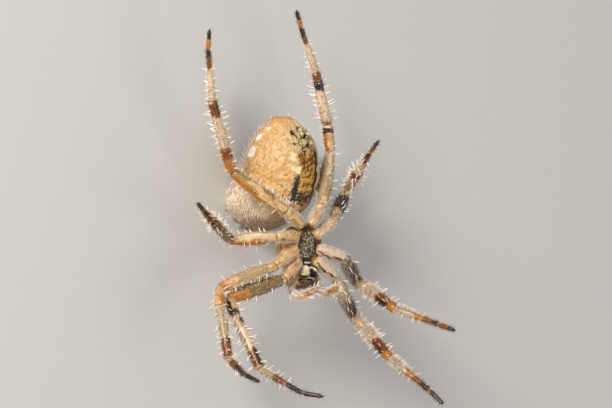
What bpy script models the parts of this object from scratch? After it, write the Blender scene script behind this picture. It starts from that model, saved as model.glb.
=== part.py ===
"""A female cross orb weaver at life size, as a still model lying on its back.

The spider keeps the pose in which it hangs in its web, turned so that its belly faces up:
+Y runs to the tail, +X to the spider's own right and +Z out of its belly. Each part is shaped
in millimetres in the body frame, whose origin is on the breast plate's surface at the waist,
and hangs from one empty, which lowers the model until the flat on its back meets the floor.
"""

import math

import bmesh
import bpy
from mathutils import Vector

MM = 0.001  # metres in a millimetre
GAP = 0.06  # the thin cut that parts two neighbours

# Abdomen: an egg whose axis bends down towards its front, with a shoulder hump on each side.
ABDOMEN_FRONT = -0.3
ABDOMEN_REAR = 9.3
ABDOMEN_RADIUS = 3.42
ABDOMEN_FULLER_FRONT = 0.07  # share of the radius that moves from the rear half to the front half
ABDOMEN_AXIS_Z = -3.08
ABDOMEN_AXIS_BEND = 0.0033  # drop of the axis for each cubic millimetre from the rear
ABDOMEN_BELLY_TAPER = 0.05  # how much narrower the belly side is than the back
SHOULDER = {"rise": 1.25, "y": 1.9, "spread_y": 1.45, "turn": 36.0, "spread_turn": 34.0}
EPIGASTRIC = {"rise": 0.75, "y": 1.55, "spread_y": 1.1, "spread_turn": 32.0}
BACK_FLAT_DEPTH = 0.32  # how much of the back the flat takes off

# Head and breast.
CARAPACE_REAR = 0.35
CARAPACE_FRONT = -4.9
CARAPACE_WIDTH = 4.6
CARAPACE_HEIGHT = 1.65
CARAPACE_RIM_Z = -0.95
CLYPEUS_RIM_Z = -1.55
HEAD_HALF_WIDTH = 1.2
STERNUM = {"rear": -0.12, "front": -2.52, "half_width": 0.98, "top": 0.04, "base": -0.82}
PEDICEL = {"start": (0.0, 0.42, -1.42), "end": (0.0, 1.08, -1.58), "radius": 0.28}

EYES = {  # x for the right eye of each pair, height over the clypeus rim, radius
    "front_median": (0.19, 0.42, 0.115),
    "rear_median": (0.16, 0.86, 0.105),
    "front_lateral": (0.72, 0.34, 0.085),
    "rear_lateral": (0.82, 0.62, 0.085),
}
EYE_DEPTH = 0.4  # share of an eye's radius that sits in its socket

# Legs: lengths of coxa with trochanter, femur, patella, tibia, metatarsus and tarsus.
SEGMENTS = ("coxa", "femur", "patella", "tibia", "metatarsus", "tarsus")
LEG_LENGTHS = {
    1: (2.30, 5.20, 2.40, 5.00, 4.60, 1.70),
    2: (2.80, 5.10, 2.30, 4.60, 4.30, 1.60),
    3: (2.55, 3.95, 1.60, 2.30, 2.40, 1.20),
    4: (2.25, 5.50, 2.40, 4.60, 4.40, 1.55),
}
HIPS = {  # where each leg starts, for the right side
    1: (0.95, -2.70, -0.10),
    2: (1.15, -1.75, -0.15),
    3: (0.98, -0.72, -0.20),
    4: (0.48, 0.22, -0.25),
}
LEG_STOUTNESS = {1: 1.0, 2: 0.97, 3: 0.88, 4: 0.97}
SEGMENT_RADII = {  # at the start, a third, two thirds and the end of each segment
    "coxa": (0.40, 0.52, 0.52, 0.45),
    "femur": (0.44, 0.635, 0.61, 0.37),
    "patella": (0.34, 0.47, 0.49, 0.43),
    "tibia": (0.43, 0.46, 0.43, 0.38),
    "metatarsus": (0.34, 0.32, 0.27, 0.25),
    "tarsus": (0.26, 0.26, 0.25, 0.25),
}
THINNEST_LEG = 0.25
MILD_BEND = 0.3  # length on each side of a joint over which the leg turns, for a slight bend
SHARP_BEND = 0.85  # and for a leg folded right back
LEAD = 0.42  # straight length between a cut and the bend after it, which leaves room to fold

# The pose: azimuth and elevation of each segment in degrees, from the hip outwards.
# Azimuth 0 points to the spider's right, 90 to its tail; elevation is towards the belly side.
POSE = {
    "left_1": ((-138, 4), (-160, -22), (-118, 48), (-82, 28), (-60, 61), (-16, 59)),
    "left_2": ((-150, 1), (-157, -24), (-129, 35), (-95, 19), (-140, 62), (-73, 71)),
    "left_3": ((-179, 2), (-176, -24), (145, 7), (158, 28), (157, 28), (150, 24)),
    "left_4": ((147, 3), (138, -29), (122, 11), (120, 12), (103, 8), (96, 13)),
    "right_1": ((-33, 6), (-46, -16), (-130, 63), (-113, 58), (-68, 52), (-73, 48)),
    "right_2": ((-16, 11), (-26, -35), (-119, 67), (-116, 67), (-41, 62), (-53, 70)),
    "right_3": ((30, -4), (45, -18), (128, 53), (123, 56), (120, 53), (76, 38)),
    "right_4": ((49, -5), (59, -20), (103, 5), (109, 3), (121, 8), (122, 14)),
}
PALPS = {  # joints of each palp, from its base beside the mouth to its tip
    "palp_left": (
        (-1.04, -4.0, -0.15),
        (-1.65, -5.2, -0.45),
        (-1.3, -5.72, 0.05),
        (-0.95, -5.55, 0.95),
        (-0.3, -5.0, 1.75),
    ),
    "palp_right": (
        (1.04, -4.0, -0.15),
        (1.7, -5.05, -0.35),
        (1.55, -5.5, 0.35),
        (1.35, -5.35, 1.3),
        (1.25, -4.95, 2.4),
    ),
}
PALP_RADII = (0.25, 0.26, 0.27, 0.26, 0.25)
FANG_PATH = ((0.6, -4.72, 0.56), (0.5, -4.6, 0.72), (0.3, -4.45, 0.8), (0.12, -4.3, 0.8))
FANG_RADII = (0.1, 0.11, 0.09, 0.05)

COLOURS = {  # linear base colour and roughness of each finish
    "abdomen": ((0.62, 0.42, 0.2), 0.6),
    "shell": ((0.35, 0.2, 0.09), 0.4),
    "breast_plate": ((0.03, 0.025, 0.02), 0.35),
    "mouthparts": ((0.3, 0.14, 0.05), 0.35),
    "fang": ((0.08, 0.02, 0.01), 0.2),
    "leg": ((0.6, 0.4, 0.22), 0.45),
    "eye": ((0.01, 0.01, 0.012), 0.05),
}


def smoothstep(low, high, x):
    """0 below low, 1 above high, and an even S between them."""
    t = min(max((x - low) / (high - low), 0.0), 1.0)
    return t * t * (3 - 2 * t)


def bell(x, middle, spread):
    """A hill of height 1 that has fallen to about a third at spread from its middle."""
    return math.exp(-(((x - middle) / spread) ** 2))


def finish(name):
    """The Principled material of one finish, made the first time it is asked for."""
    found = bpy.data.materials.get(name)
    if found:
        return found
    colour, roughness = COLOURS[name]
    made = bpy.data.materials.new(name)
    made.use_nodes = True
    shader = made.node_tree.nodes["Principled BSDF"]
    shader.inputs["Base Color"].default_value = (*colour, 1.0)
    shader.inputs["Roughness"].default_value = roughness
    shader.inputs["Metallic"].default_value = 0.0
    return made


def add_part(name, data, material, parts, body):
    """Puts mesh or curve data into the model as one named part."""
    part = bpy.data.objects.new(name, data)
    data.materials.append(finish(material))
    parts.objects.link(part)
    part.parent = body
    return part


def ball_mesh(name, around, along, place):
    """A sphere whose vertices are moved by place(along, turn).

    along runs from -1 to 1 between the poles, and turn is the angle round the axis in radians.
    place returns the vertex's position in millimetres.
    """
    mesh = bpy.data.meshes.new(name)
    bm = bmesh.new()
    bmesh.ops.create_uvsphere(bm, u_segments=around, v_segments=along, radius=1.0)
    for vertex in bm.verts:
        turn = math.atan2(vertex.co.y, vertex.co.x)
        vertex.co = Vector(place(max(-1.0, min(1.0, vertex.co.z)), turn)) * MM
    if bm.calc_volume(signed=True) < 0:
        bmesh.ops.reverse_faces(bm, faces=bm.faces)
    bm.to_mesh(mesh)
    bm.free()
    mesh.shade_smooth()
    return mesh


def tube_curve(name, points, radii, sides=2):
    """A round tube along points, in millimetres, with its own radius at each point."""
    curve = bpy.data.curves.new(name, "CURVE")
    curve.dimensions = "3D"
    curve.bevel_depth = MM
    curve.bevel_resolution = sides
    curve.use_fill_caps = True
    spline = curve.splines.new("POLY")
    spline.points.add(len(points) - 1)
    for knot, point, radius in zip(spline.points, points, radii):
        knot.co = (*(Vector(point) * MM), 1.0)
        knot.radius = radius
    return curve


def abdomen_axis_z(y):
    """Height of the abdomen's axis, which bends towards the back at the front end."""
    return ABDOMEN_AXIS_Z - ABDOMEN_AXIS_BEND * (ABDOMEN_REAR - y) ** 3


def abdomen_point(along, turn):
    """The abdomen's surface; turn 90 degrees faces the belly and -90 the back."""
    half = (ABDOMEN_REAR - ABDOMEN_FRONT) / 2
    y = (ABDOMEN_REAR + ABDOMEN_FRONT) / 2 + half * along
    ring = math.sqrt(max(0.0, 1 - along * along))
    side, belly = math.cos(turn), math.sin(turn)
    radius = ABDOMEN_RADIUS * ring * (1 - ABDOMEN_FULLER_FRONT * along)
    degrees = math.degrees(math.asin(belly))
    hump = SHOULDER["rise"] * bell(y, SHOULDER["y"], SHOULDER["spread_y"])
    hump *= bell(degrees, -SHOULDER["turn"], SHOULDER["spread_turn"]) * ring
    lungs = EPIGASTRIC["rise"] * bell(y, EPIGASTRIC["y"], EPIGASTRIC["spread_y"])
    lungs *= bell(degrees, 90.0, EPIGASTRIC["spread_turn"]) * ring
    narrow = 1 - ABDOMEN_BELLY_TAPER * (1 + belly)
    reach = radius + hump + lungs
    return reach * side * narrow, y, abdomen_axis_z(y) + reach * belly


def flatten_back(mesh):
    """Cuts the flat on which the model lies, where the back reaches lowest."""
    bm = bmesh.new()
    bm.from_mesh(mesh)
    lowest = min(vertex.co.z for vertex in bm.verts)
    level = Vector((0.0, 0.0, lowest + BACK_FLAT_DEPTH * MM))
    everything = bm.verts[:] + bm.edges[:] + bm.faces[:]
    cut = bmesh.ops.bisect_plane(
        bm, geom=everything, plane_co=level, plane_no=(0, 0, -1), clear_outer=True
    )
    rim = [item for item in cut["geom_cut"] if isinstance(item, bmesh.types.BMEdge)]
    bmesh.ops.contextual_create(bm, geom=rim)
    bmesh.ops.recalc_face_normals(bm, faces=bm.faces)
    bm.to_mesh(mesh)
    bm.free()


def make_abdomen(parts, body):
    mesh = ball_mesh("abdomen", 26, 17, abdomen_point)
    flatten_back(mesh)
    add_part("abdomen", mesh, "abdomen", parts, body)


def carapace_half_width(y):
    """Half the carapace's width: a broad oval that narrows to the head in front."""
    middle = -1.75
    reach = CARAPACE_REAR - middle if y > middle else middle - CARAPACE_FRONT
    oval = math.sqrt(max(0.0, 1 - ((y - middle) / reach) ** 2))
    front_oval = math.sqrt(max(0.0, 1 - ((y - middle) / reach) ** 10))
    head = smoothstep(-2.4, -3.7, y) if y < -2.4 else 0.0
    return (1 - head) * CARAPACE_WIDTH / 2 * oval + head * HEAD_HALF_WIDTH * front_oval


def carapace_rim_z(y):
    """Height of the carapace's lower rim, which lifts over the jaws."""
    over_jaws = smoothstep(3.45, 3.85, -y)
    return CARAPACE_RIM_Z + (CLYPEUS_RIM_Z - CARAPACE_RIM_Z) * over_jaws


def carapace_height(y):
    """Height of the dome over its rim, full in the middle and rounded off at both ends."""
    middle = (CARAPACE_REAR + CARAPACE_FRONT) / 2
    along = (y - middle) / (CARAPACE_REAR - middle)
    full = carapace_rim_z(y) - (CARAPACE_RIM_Z - CARAPACE_HEIGHT)
    return full * math.sqrt(max(0.0, 1 - abs(along) ** (2.5 if along > 0 else 8)))


def carapace_point(along, turn):
    """A dome over a flat rim; turn -90 degrees faces the back."""
    middle = (CARAPACE_REAR + CARAPACE_FRONT) / 2
    y = middle + (CARAPACE_REAR - middle) * along
    side, up = math.cos(turn), math.sin(turn)
    return carapace_half_width(y) * side, y, carapace_rim_z(y) + min(up, 0.0) * carapace_height(y)


def make_carapace(parts, body, cutters):
    """The carapace, with a round socket cut for each eye."""
    mesh = ball_mesh("carapace", 20, 13, carapace_point)
    carapace = add_part("carapace", mesh, "shell", parts, body)
    sockets = bpy.data.meshes.new("eye_sockets")
    bm = bmesh.new()
    for centre, radius in eye_places().values():
        made = bmesh.ops.create_uvsphere(bm, u_segments=8, v_segments=6, radius=(radius + GAP) * MM)
        bmesh.ops.translate(bm, verts=made["verts"], vec=centre * MM)
    bm.to_mesh(sockets)
    bm.free()
    cutter = bpy.data.objects.new("eye_sockets", sockets)
    cutters.objects.link(cutter)
    cutter.parent = body
    cutter.hide_render = True
    cutter.display_type = "WIRE"
    cut = carapace.modifiers.new("eye_sockets", "BOOLEAN")
    cut.operation = "DIFFERENCE"
    cut.solver = "EXACT"
    cut.object = cutter


def face_y(x, z):
    """The y at which the head's front surface stands at a given x and z, found by halving."""
    rear, front = -3.9, CARAPACE_FRONT
    for _ in range(30):
        middle = (rear + front) / 2
        across = x / max(1e-6, carapace_half_width(middle))
        rise = (carapace_rim_z(middle) - z) / max(1e-6, carapace_height(middle))
        if across**2 + rise**2 < 1:
            rear = middle
        else:
            front = middle
    return (rear + front) / 2


def eye_places():
    """Centre and radius of each of the eight eyes, part sunk in the head's front."""
    places = {}
    for pair, (x, height, radius) in EYES.items():
        z = CLYPEUS_RIM_Z - height
        y = face_y(x, z) - radius * (1 - EYE_DEPTH)
        for side, sign in (("left", -1), ("right", 1)):
            places[f"eye_{pair}_{side}"] = (Vector((sign * x, y, z)), radius)
    return places


def make_eyes(parts, body):
    for name, (centre, radius) in eye_places().items():
        mesh = bpy.data.meshes.new(name)
        bm = bmesh.new()
        bmesh.ops.create_uvsphere(bm, u_segments=8, v_segments=6, radius=radius * MM)
        bmesh.ops.translate(bm, verts=bm.verts, vec=centre * MM)
        bm.to_mesh(mesh)
        bm.free()
        mesh.shade_smooth()
        add_part(name, mesh, "eye", parts, body)


def sternum_point(along, turn):
    """The shield-shaped breast plate: widest in its front half, pointed at the waist."""
    half = (STERNUM["rear"] - STERNUM["front"]) / 2
    y = (STERNUM["rear"] + STERNUM["front"]) / 2 + half * along
    outline = math.sqrt(max(0.0, 1 - along * along)) ** 0.8
    outline *= 1 - 0.26 * smoothstep(-0.3, 1.0, along)
    side, up = math.cos(turn), math.sin(turn)
    middle = (STERNUM["top"] + STERNUM["base"]) / 2
    thick = (STERNUM["top"] - STERNUM["base"]) / 2 * min(1.0, 2.2 * (1 - abs(along))) ** 0.5
    square = math.copysign(abs(up) ** 0.7, up)
    return STERNUM["half_width"] * outline * side, y, middle + thick * square


def ellipsoid(centre, half_axes, lean=(0.0, 0.0)):
    """A place function for an ellipsoid along Z whose lower and upper end lean in x and y."""

    def place(along, turn):
        ring = math.sqrt(max(0.0, 1 - along * along)) ** 0.85
        x = centre[0] + half_axes[0] * ring * math.cos(turn) + lean[0] * along
        y = centre[1] + half_axes[1] * ring * math.sin(turn) + lean[1] * along
        return x, y, centre[2] + half_axes[2] * along

    return place


def make_mouth(parts, body):
    """Sternum, lip, the two jaw plates beside it, the jaws and their fangs."""
    add_part("sternum", ball_mesh("sternum", 16, 10, sternum_point), "breast_plate", parts, body)
    lip = ball_mesh("labium", 12, 8, ellipsoid((0.0, -2.83, -0.2), (0.4, 0.2, 0.34)))
    add_part("labium", lip, "breast_plate", parts, body)
    for side, sign in (("left", -1), ("right", 1)):
        plate_place = ellipsoid((sign * 0.46, -3.6, 0.1), (0.38, 0.52, 0.55))
        plate = ball_mesh(f"maxilla_{side}", 12, 9, plate_place)
        add_part(f"maxilla_{side}", plate, "mouthparts", parts, body)
        jaw_place = ellipsoid((sign * 0.53, -4.62, -0.52), (0.48, 0.44, 0.98), (0.0, -0.1))
        jaw = ball_mesh(f"chelicera_{side}", 12, 8, jaw_place)
        add_part(f"chelicera_{side}", jaw, "mouthparts", parts, body)
        fang_path = [(sign * x, y, z) for x, y, z in FANG_PATH]
        fang = tube_curve(f"fang_{side}", fang_path, FANG_RADII)
        add_part(f"fang_{side}", fang, "fang", parts, body)
    for name, joints in PALPS.items():
        path, radii = bent_tube(joints, [PALP_RADII] * (len(joints) - 1))
        add_part(name, tube_curve(name, path, radii), "leg", parts, body)


def bend_reach(before, after):
    """How far from a joint its rounded corner starts and ends: further where the bend is sharper."""
    turn = before.angle(after)
    reach = MILD_BEND + (SHARP_BEND - MILD_BEND) * math.sin(turn / 2) ** 2
    return min(reach, 0.4 * before.length, 0.4 * after.length)


def bent_tube(joints, segment_radii, start=0, end=None):
    """Points and radii of a tube through joints, with each inner corner turned in two steps.

    segment_radii holds, for each segment, the radii at even steps from its start to its end.
    start and end pick the segments. The tube stops a little short of its last inner joint and
    begins a little short of its first one, so that each corner belongs to the segment after it.
    """
    joints = [Vector(joint) for joint in joints]
    spans = [after - before for before, after in zip(joints, joints[1:])]
    bends = [0.0] + [bend_reach(*pair) for pair in zip(spans, spans[1:])] + [0.0]
    end = len(spans) if end is None else end
    points, radii = [], []

    def radius_at(segment, fraction):
        steps = segment_radii[segment]
        place = fraction * (len(steps) - 1)
        low = min(int(place), len(steps) - 2)
        return steps[low] + (steps[low + 1] - steps[low]) * (place - low)

    for k in range(start, end):
        length, way = spans[k].length, spans[k].normalized()
        if k > 0:
            before = spans[k - 1].normalized()
            first, last = joints[k] - before * bends[k], joints[k] + way * bends[k]
            first_radius = radius_at(k - 1, 1 - bends[k] / spans[k - 1].length)
            last_radius = radius_at(k, bends[k] / length)
            if k == start:
                points += [first - before * (LEAD - GAP), first]
                radii += [first_radius, first_radius]
            points.append((first + joints[k] * 2 + last) / 4)
            radii.append((first_radius + last_radius) / 2)
        else:
            points.append(joints[0])
            radii.append(radius_at(0, 0.0))
        straight_from = bends[k] / length
        straight_to = 1.0 - bends[k + 1] / length
        if k + 1 == end and end < len(spans):
            straight_to -= LEAD / length
        steps = 3 if length > 3.0 else 2
        for i in range(steps + 1):
            fraction = straight_from + (straight_to - straight_from) * i / steps
            if k == 0 and i == 0:
                continue
            points.append(joints[k] + way * length * fraction)
            radii.append(radius_at(k, fraction))
    return points, radii


def leg_joints(leg):
    """The hip, the joints and the tip of one leg, from its lengths and its pose."""
    side, number = leg.split("_")
    number = int(number)
    x, y, z = HIPS[number]
    joints = [Vector((x if side == "right" else -x, y, z))]
    for length, (azimuth, elevation) in zip(LEG_LENGTHS[number], POSE[leg]):
        around, up = math.radians(azimuth), math.radians(elevation)
        flat = Vector((math.cos(around), math.sin(around), 0.0))
        way = flat * math.cos(up) + Vector((0.0, 0.0, math.sin(up)))
        joints.append(joints[-1] + way * length)
    return joints


def make_leg(leg, parts, body):
    """Four parts: coxa with trochanter, femur, patella with tibia, metatarsus with tarsus."""
    side, number = leg.split("_")
    joints = leg_joints(leg)
    stoutness = LEG_STOUTNESS[int(number)]
    radii = [[max(THINNEST_LEG, stoutness * r) for r in SEGMENT_RADII[name]] for name in SEGMENTS]
    for part, start, end in (("coxa", 0, 1), ("femur", 1, 2), ("tibia", 2, 4), ("foot", 4, 6)):
        name = f"leg_{number}_{side}_{part}"
        path, path_radii = bent_tube(joints, radii, start, end)
        if part == "foot":  # a rounded end
            path.append(path[-1] + (path[-1] - path[-2]).normalized() * THINNEST_LEG * 0.6)
            path_radii.append(THINNEST_LEG * 0.6)
        add_part(name, tube_curve(name, path, path_radii), "leg", parts, body)


def belly_surface(x, y):
    """The point of the abdomen's belly side over x and y, and the direction straight out of it."""
    half = (ABDOMEN_REAR - ABDOMEN_FRONT) / 2
    along = (y - (ABDOMEN_REAR + ABDOMEN_FRONT) / 2) / half
    low, high = 0.0, math.pi / 2
    for _ in range(30):
        turn = (low + high) / 2
        if abdomen_point(along, turn)[0] > abs(x):
            low = turn
        else:
            high = turn
    point = Vector(abdomen_point(along, turn))
    step = 0.02
    across = Vector(abdomen_point(along, turn + step)) - Vector(abdomen_point(along, turn - step))
    lengthwise = Vector(abdomen_point(along + step, turn)) - Vector(abdomen_point(along - step, turn))
    outwards = lengthwise.cross(across).normalized()
    if outwards.z < 0:
        outwards = -outwards
    if x < 0:
        point.x, outwards.x = -point.x, -outwards.x
    return point, outwards


def make_spinnerets(parts, body):
    """Four short cones round the anus, near the rear of the belly."""
    for side, sign in (("left", -1), ("right", 1)):
        for place, y in (("front", 6.95), ("rear", 7.65)):
            name = f"spinneret_{place}_{side}"
            point, outwards = belly_surface(sign * 0.36, y)
            base = point + outwards * GAP
            tip = base + outwards * 0.55 - Vector((sign * 0.08, 0.0, 0.0))
            cone = tube_curve(name, (base, base + outwards * 0.3, tip), (0.3, 0.26, 0.15))
            add_part(name, cone, "shell", parts, body)


def make_waist(parts, body):
    """The stalk between carapace and abdomen, and the plate over the genital opening."""
    start, end = Vector(PEDICEL["start"]), Vector(PEDICEL["end"])
    stalk = tube_curve("pedicel", (start, end), [PEDICEL["radius"]] * 2, 3)
    add_part("pedicel", stalk, "shell", parts, body)
    point, outwards = belly_surface(0.0, 2.1)
    base = point + outwards * GAP
    tongue = (base, base + outwards * 0.15, base + outwards * 0.3 + Vector((0.0, 0.1, 0.0)))
    add_part("epigyne", tube_curve("epigyne", tongue, (0.32, 0.28, 0.15), 3), "mouthparts", parts, body)


def settle(body, parts):
    """Moves the empty so that the model's box has the middle of its underside at the origin."""
    bpy.context.view_layer.update()
    depsgraph = bpy.context.evaluated_depsgraph_get()
    corners = []
    for part in parts.objects:
        seen = part.evaluated_get(depsgraph)
        mesh = seen.to_mesh()
        corners += [seen.matrix_world @ vertex.co for vertex in mesh.vertices]
        seen.to_mesh_clear()
    low = Vector(min(corner[axis] for corner in corners) for axis in range(3))
    high = Vector(max(corner[axis] for corner in corners) for axis in range(3))
    body.location -= Vector(((low.x + high.x) / 2, (low.y + high.y) / 2, low.z))
    bpy.context.view_layer.update()
    print("box mm", [round(v / MM, 2) for v in high - low])
    print("body at", [round(v / MM, 3) for v in body.location])


def main():
    for old in list(bpy.data.objects):
        bpy.data.objects.remove(old)
    parts = bpy.data.collections.new("orb_weaver_spider")
    cutters = bpy.data.collections.new("cutters")
    bpy.context.scene.collection.children.link(parts)
    bpy.context.scene.collection.children.link(cutters)
    body = bpy.data.objects.new("body_frame", None)
    bpy.context.scene.collection.objects.link(body)
    make_abdomen(parts, body)
    make_carapace(parts, body, cutters)
    make_eyes(parts, body)
    make_mouth(parts, body)
    make_waist(parts, body)
    make_spinnerets(parts, body)
    for leg in POSE:
        make_leg(leg, parts, body)
    settle(body, parts)


main()
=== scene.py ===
# %% [markdown]
# # A cross orb weaver, lying on its back
# The real animal hangs head down in its web and shows its belly. This model keeps that pose and
# lies on the floor with its belly up, and the camera has turned with it. The solid model gives
# every part's place; the cells below give each part its true surface, hair and colours.

# %% Load the solid model
import math
from collections import namedtuple
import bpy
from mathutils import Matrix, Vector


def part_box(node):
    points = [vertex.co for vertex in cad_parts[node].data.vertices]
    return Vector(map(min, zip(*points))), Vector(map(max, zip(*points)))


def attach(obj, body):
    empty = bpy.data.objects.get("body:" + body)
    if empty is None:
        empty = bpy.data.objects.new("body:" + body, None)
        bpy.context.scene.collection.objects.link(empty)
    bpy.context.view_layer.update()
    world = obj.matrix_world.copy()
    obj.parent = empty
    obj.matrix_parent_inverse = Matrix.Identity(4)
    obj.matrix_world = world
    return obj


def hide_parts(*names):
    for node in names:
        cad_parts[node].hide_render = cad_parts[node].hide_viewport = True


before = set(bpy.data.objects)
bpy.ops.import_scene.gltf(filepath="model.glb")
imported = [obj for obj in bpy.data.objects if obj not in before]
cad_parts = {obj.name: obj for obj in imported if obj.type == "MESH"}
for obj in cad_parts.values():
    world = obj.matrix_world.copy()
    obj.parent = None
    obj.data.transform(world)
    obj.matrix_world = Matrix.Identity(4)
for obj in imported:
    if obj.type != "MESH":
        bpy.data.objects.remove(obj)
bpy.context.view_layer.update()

from types import SimpleNamespace as Sizes

import bpy
import numpy as np
from mathutils import Matrix, Vector

MM = 0.001  # metres in a millimetre

# %% [markdown]
# ## The body frame
# A spider's parts all hang from the breast, so sizes here are millimetres from one point on the
# breast plate's surface, at the waist: +Y runs to the tail, +X to the spider's own right and +Z
# out of its belly. The breast plate's own box says where that point lies in the room.

# %% Find the body frame
STERNUM_REAR = -0.12  # the breast plate's rear tip, measured from that point
STERNUM_TOP = 0.04  # how far the plate stands out over that point
low, high = (np.array(corner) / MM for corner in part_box("sternum"))
ORIGIN = np.array([(low[0] + high[0]) / 2, high[1] - STERNUM_REAR, high[2] - STERNUM_TOP])
FLOOR = -ORIGIN[2]  # height of the floor in the body frame
SIDES = (("left", -1), ("right", 1))
print("body frame at, mm:", ORIGIN.round(3))

# %% [markdown]
# ## The camera
# The camera looks at the left side of the belly from well above the floor. It is far away with
# a long lens, as for a close-up of a small animal, so the legs keep their true lengths.

# %% Camera
VIEW_TURN = math.radians(42)  # from straight over the belly towards the spider's left
VIEW_WIDTH = 51.0  # millimetres across the view at the spider
VIEW_DISTANCE = 800.0
VIEW_CENTRE = (-1 / 6, 2.0)  # millimetres to the right and up from the body frame's point
SENSOR = 36.0


def add_object(name, data):
    """Puts a mesh, a lamp or a camera into the scene."""
    made = bpy.data.objects.new(name, data)
    bpy.context.scene.collection.objects.link(made)
    return made


right = np.array([math.cos(VIEW_TURN), 0.0, math.sin(VIEW_TURN)])
upwards = np.array([0.0, 1.0, 0.0])
towards = np.cross(right, upwards)
eye = ORIGIN + right * VIEW_CENTRE[0] + upwards * VIEW_CENTRE[1] + towards * VIEW_DISTANCE
lens = bpy.data.cameras.new("camera")
lens.sensor_width = SENSOR
lens.lens = SENSOR * VIEW_DISTANCE / VIEW_WIDTH
lens.clip_start = 0.01
lens.clip_end = 10.0
camera = add_object("camera", lens)
turned = Matrix((right, upwards, towards)).transposed().to_4x4()
camera.matrix_world = Matrix.Translation(eye * MM) @ turned
bpy.context.scene.camera = camera
print("camera height over the floor, m:", round(eye[2] * MM, 3))

# %% [markdown]
# ## Small tools for shapes
# Every piece is a grid of points worked out as whole arrays. A closed grid has rings of points
# and a pole at each end, so one function can number the faces of an abdomen and of a leg alike.
# A few soft curves, such as a step and a bell, are enough to write down every shape and marking.

# %% Curves
def unit(vectors):
    """Each vector divided by its own length."""
    return vectors / np.maximum(np.linalg.norm(vectors, axis=-1, keepdims=True), 1e-12)


def step_up(low, high, x):
    """0 below low, 1 above high, and an even S between them; with low above high it steps down."""
    t = np.clip((x - low) / (high - low), 0, 1)
    return t * t * (3 - 2 * t)


def span(x, start, full, fading, end):
    """0 up to start, 1 from full to fading and 0 again from end, with an S on either side."""
    return step_up(start, full, x) * step_up(end, fading, x)


def bell(x, middle, spread):
    """A hill of height 1 that has fallen to about a third at spread from its middle."""
    return np.exp(-(((x - middle) / spread) ** 2))


def dome(share, power=2):
    """The height of an arch, from 1 at share 0 to 0 at share 1; a higher power is squarer."""
    return np.sqrt(np.maximum(0, 1 - np.abs(share) ** power))


def spot(x, y, x0, y0, half_x, half_y):
    """1 at the middle of an oval spot, 0.5 on its edge and 0 well outside."""
    return 1 / (1 + ((x - x0) / half_x) ** 4 + ((y - y0) / half_y) ** 4)


def spots(x, y, ovals):
    """The sum of several oval spots, each given by its middle and its half sizes."""
    return sum(spot(x, y, *oval) for oval in ovals)


def hills(points, size, seed, waves=16):
    """Soft random hills of about the given size: a sum of sine waves in random directions."""
    rng = np.random.default_rng(seed)
    ways = rng.normal(size=(waves, 3)) * math.pi / size
    return np.sin(points @ ways.T + rng.uniform(0, 2 * math.pi, waves)).sum(-1) / math.sqrt(waves)


# %% Shape tools
def ring_faces(rings, around):
    """Quads between neighbouring rings, and a fan of triangles to the pole at each end.

    Points are numbered ring by ring; the last two are the poles."""
    ring, here = np.meshgrid(np.arange(rings - 1) * around, np.arange(around), indexing="ij")
    there = (here + 1) % around
    quads = np.stack([ring + here, ring + there, ring + around + there, ring + around + here], -1)
    here, there = np.arange(around), (np.arange(around) + 1) % around
    first = np.stack([np.full(around, rings * around), there, here], -1)
    last = (rings - 1) * around
    final = np.stack([np.full(around, rings * around + 1), last + here, last + there], -1)
    return quads.reshape(-1, 4), np.concatenate([first, final])


def signed_volume(points, quads, triangles):
    """The sum of the tetrahedra from the origin to each face; it is negative if inside out."""
    halves = np.concatenate([triangles, quads[:, [0, 1, 2]], quads[:, [0, 2, 3]]])
    a, b, c = points[halves[:, 0]], points[halves[:, 1]], points[halves[:, 2]]
    return float((a * np.cross(b, c)).sum() / 6)


def add_piece(name, points, faces, material, nodes=(), masks=None, bake_map=None):
    """Makes one smooth piece from points in the body frame and a pair of arrays of quads and
    triangles. It stands for the nodes named. masks holds a number or a vector for each point
    that the material reads by its name."""
    quads, triangles = faces
    if signed_volume(points, quads, triangles) < 0:
        quads, triangles = quads[:, ::-1], triangles[:, ::-1]
    corners = np.concatenate([quads.ravel(), triangles.ravel()]).astype(np.int32)
    sizes = np.repeat([4, 3], [len(quads), len(triangles)])
    mesh = bpy.data.meshes.new(name)
    mesh.vertices.add(len(points))
    mesh.vertices.foreach_set("co", ((points + ORIGIN) * MM).astype(np.float32).ravel())
    mesh.loops.add(len(corners))
    mesh.loops.foreach_set("vertex_index", corners)
    mesh.polygons.add(len(sizes))
    mesh.polygons.foreach_set("loop_start", (np.cumsum(sizes) - sizes).astype(np.int32))
    mesh.update(calc_edges=True)
    mesh.validate()
    for mask, values in (masks or {}).items():
        kind, field = ("FLOAT_VECTOR", "vector") if np.ndim(values) == 2 else ("FLOAT", "value")
        layer = mesh.attributes.new(mask, kind, "POINT")
        layer.data.foreach_set(field, np.ascontiguousarray(values, np.float32).ravel())
    if bake_map is not None:
        layer = mesh.uv_layers.new(name="OFBake")
        layer.data.foreach_set("uv", bake_map[corners].astype(np.float32).ravel())
    mesh.shade_smooth()
    mesh.materials.append(material)
    piece = add_object(name, mesh)
    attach(piece, "root")
    if nodes:
        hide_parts(*nodes)
    print(f"{name}: {len(quads) * 2 + len(triangles)} triangles")


Skin = namedtuple("Skin", "points x y z along turn side up")


def skin_at(place, along, turn):
    """Points of a surface place(along, turn): along goes from -1 at one pole to 1 at the other,
    and turn round it, so that side, its cosine, is 1 on the right and up, its sine, at the top."""
    points = place(along, turn)
    return Skin(points, *points.T, along, turn, np.cos(turn), np.sin(turn))


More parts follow.
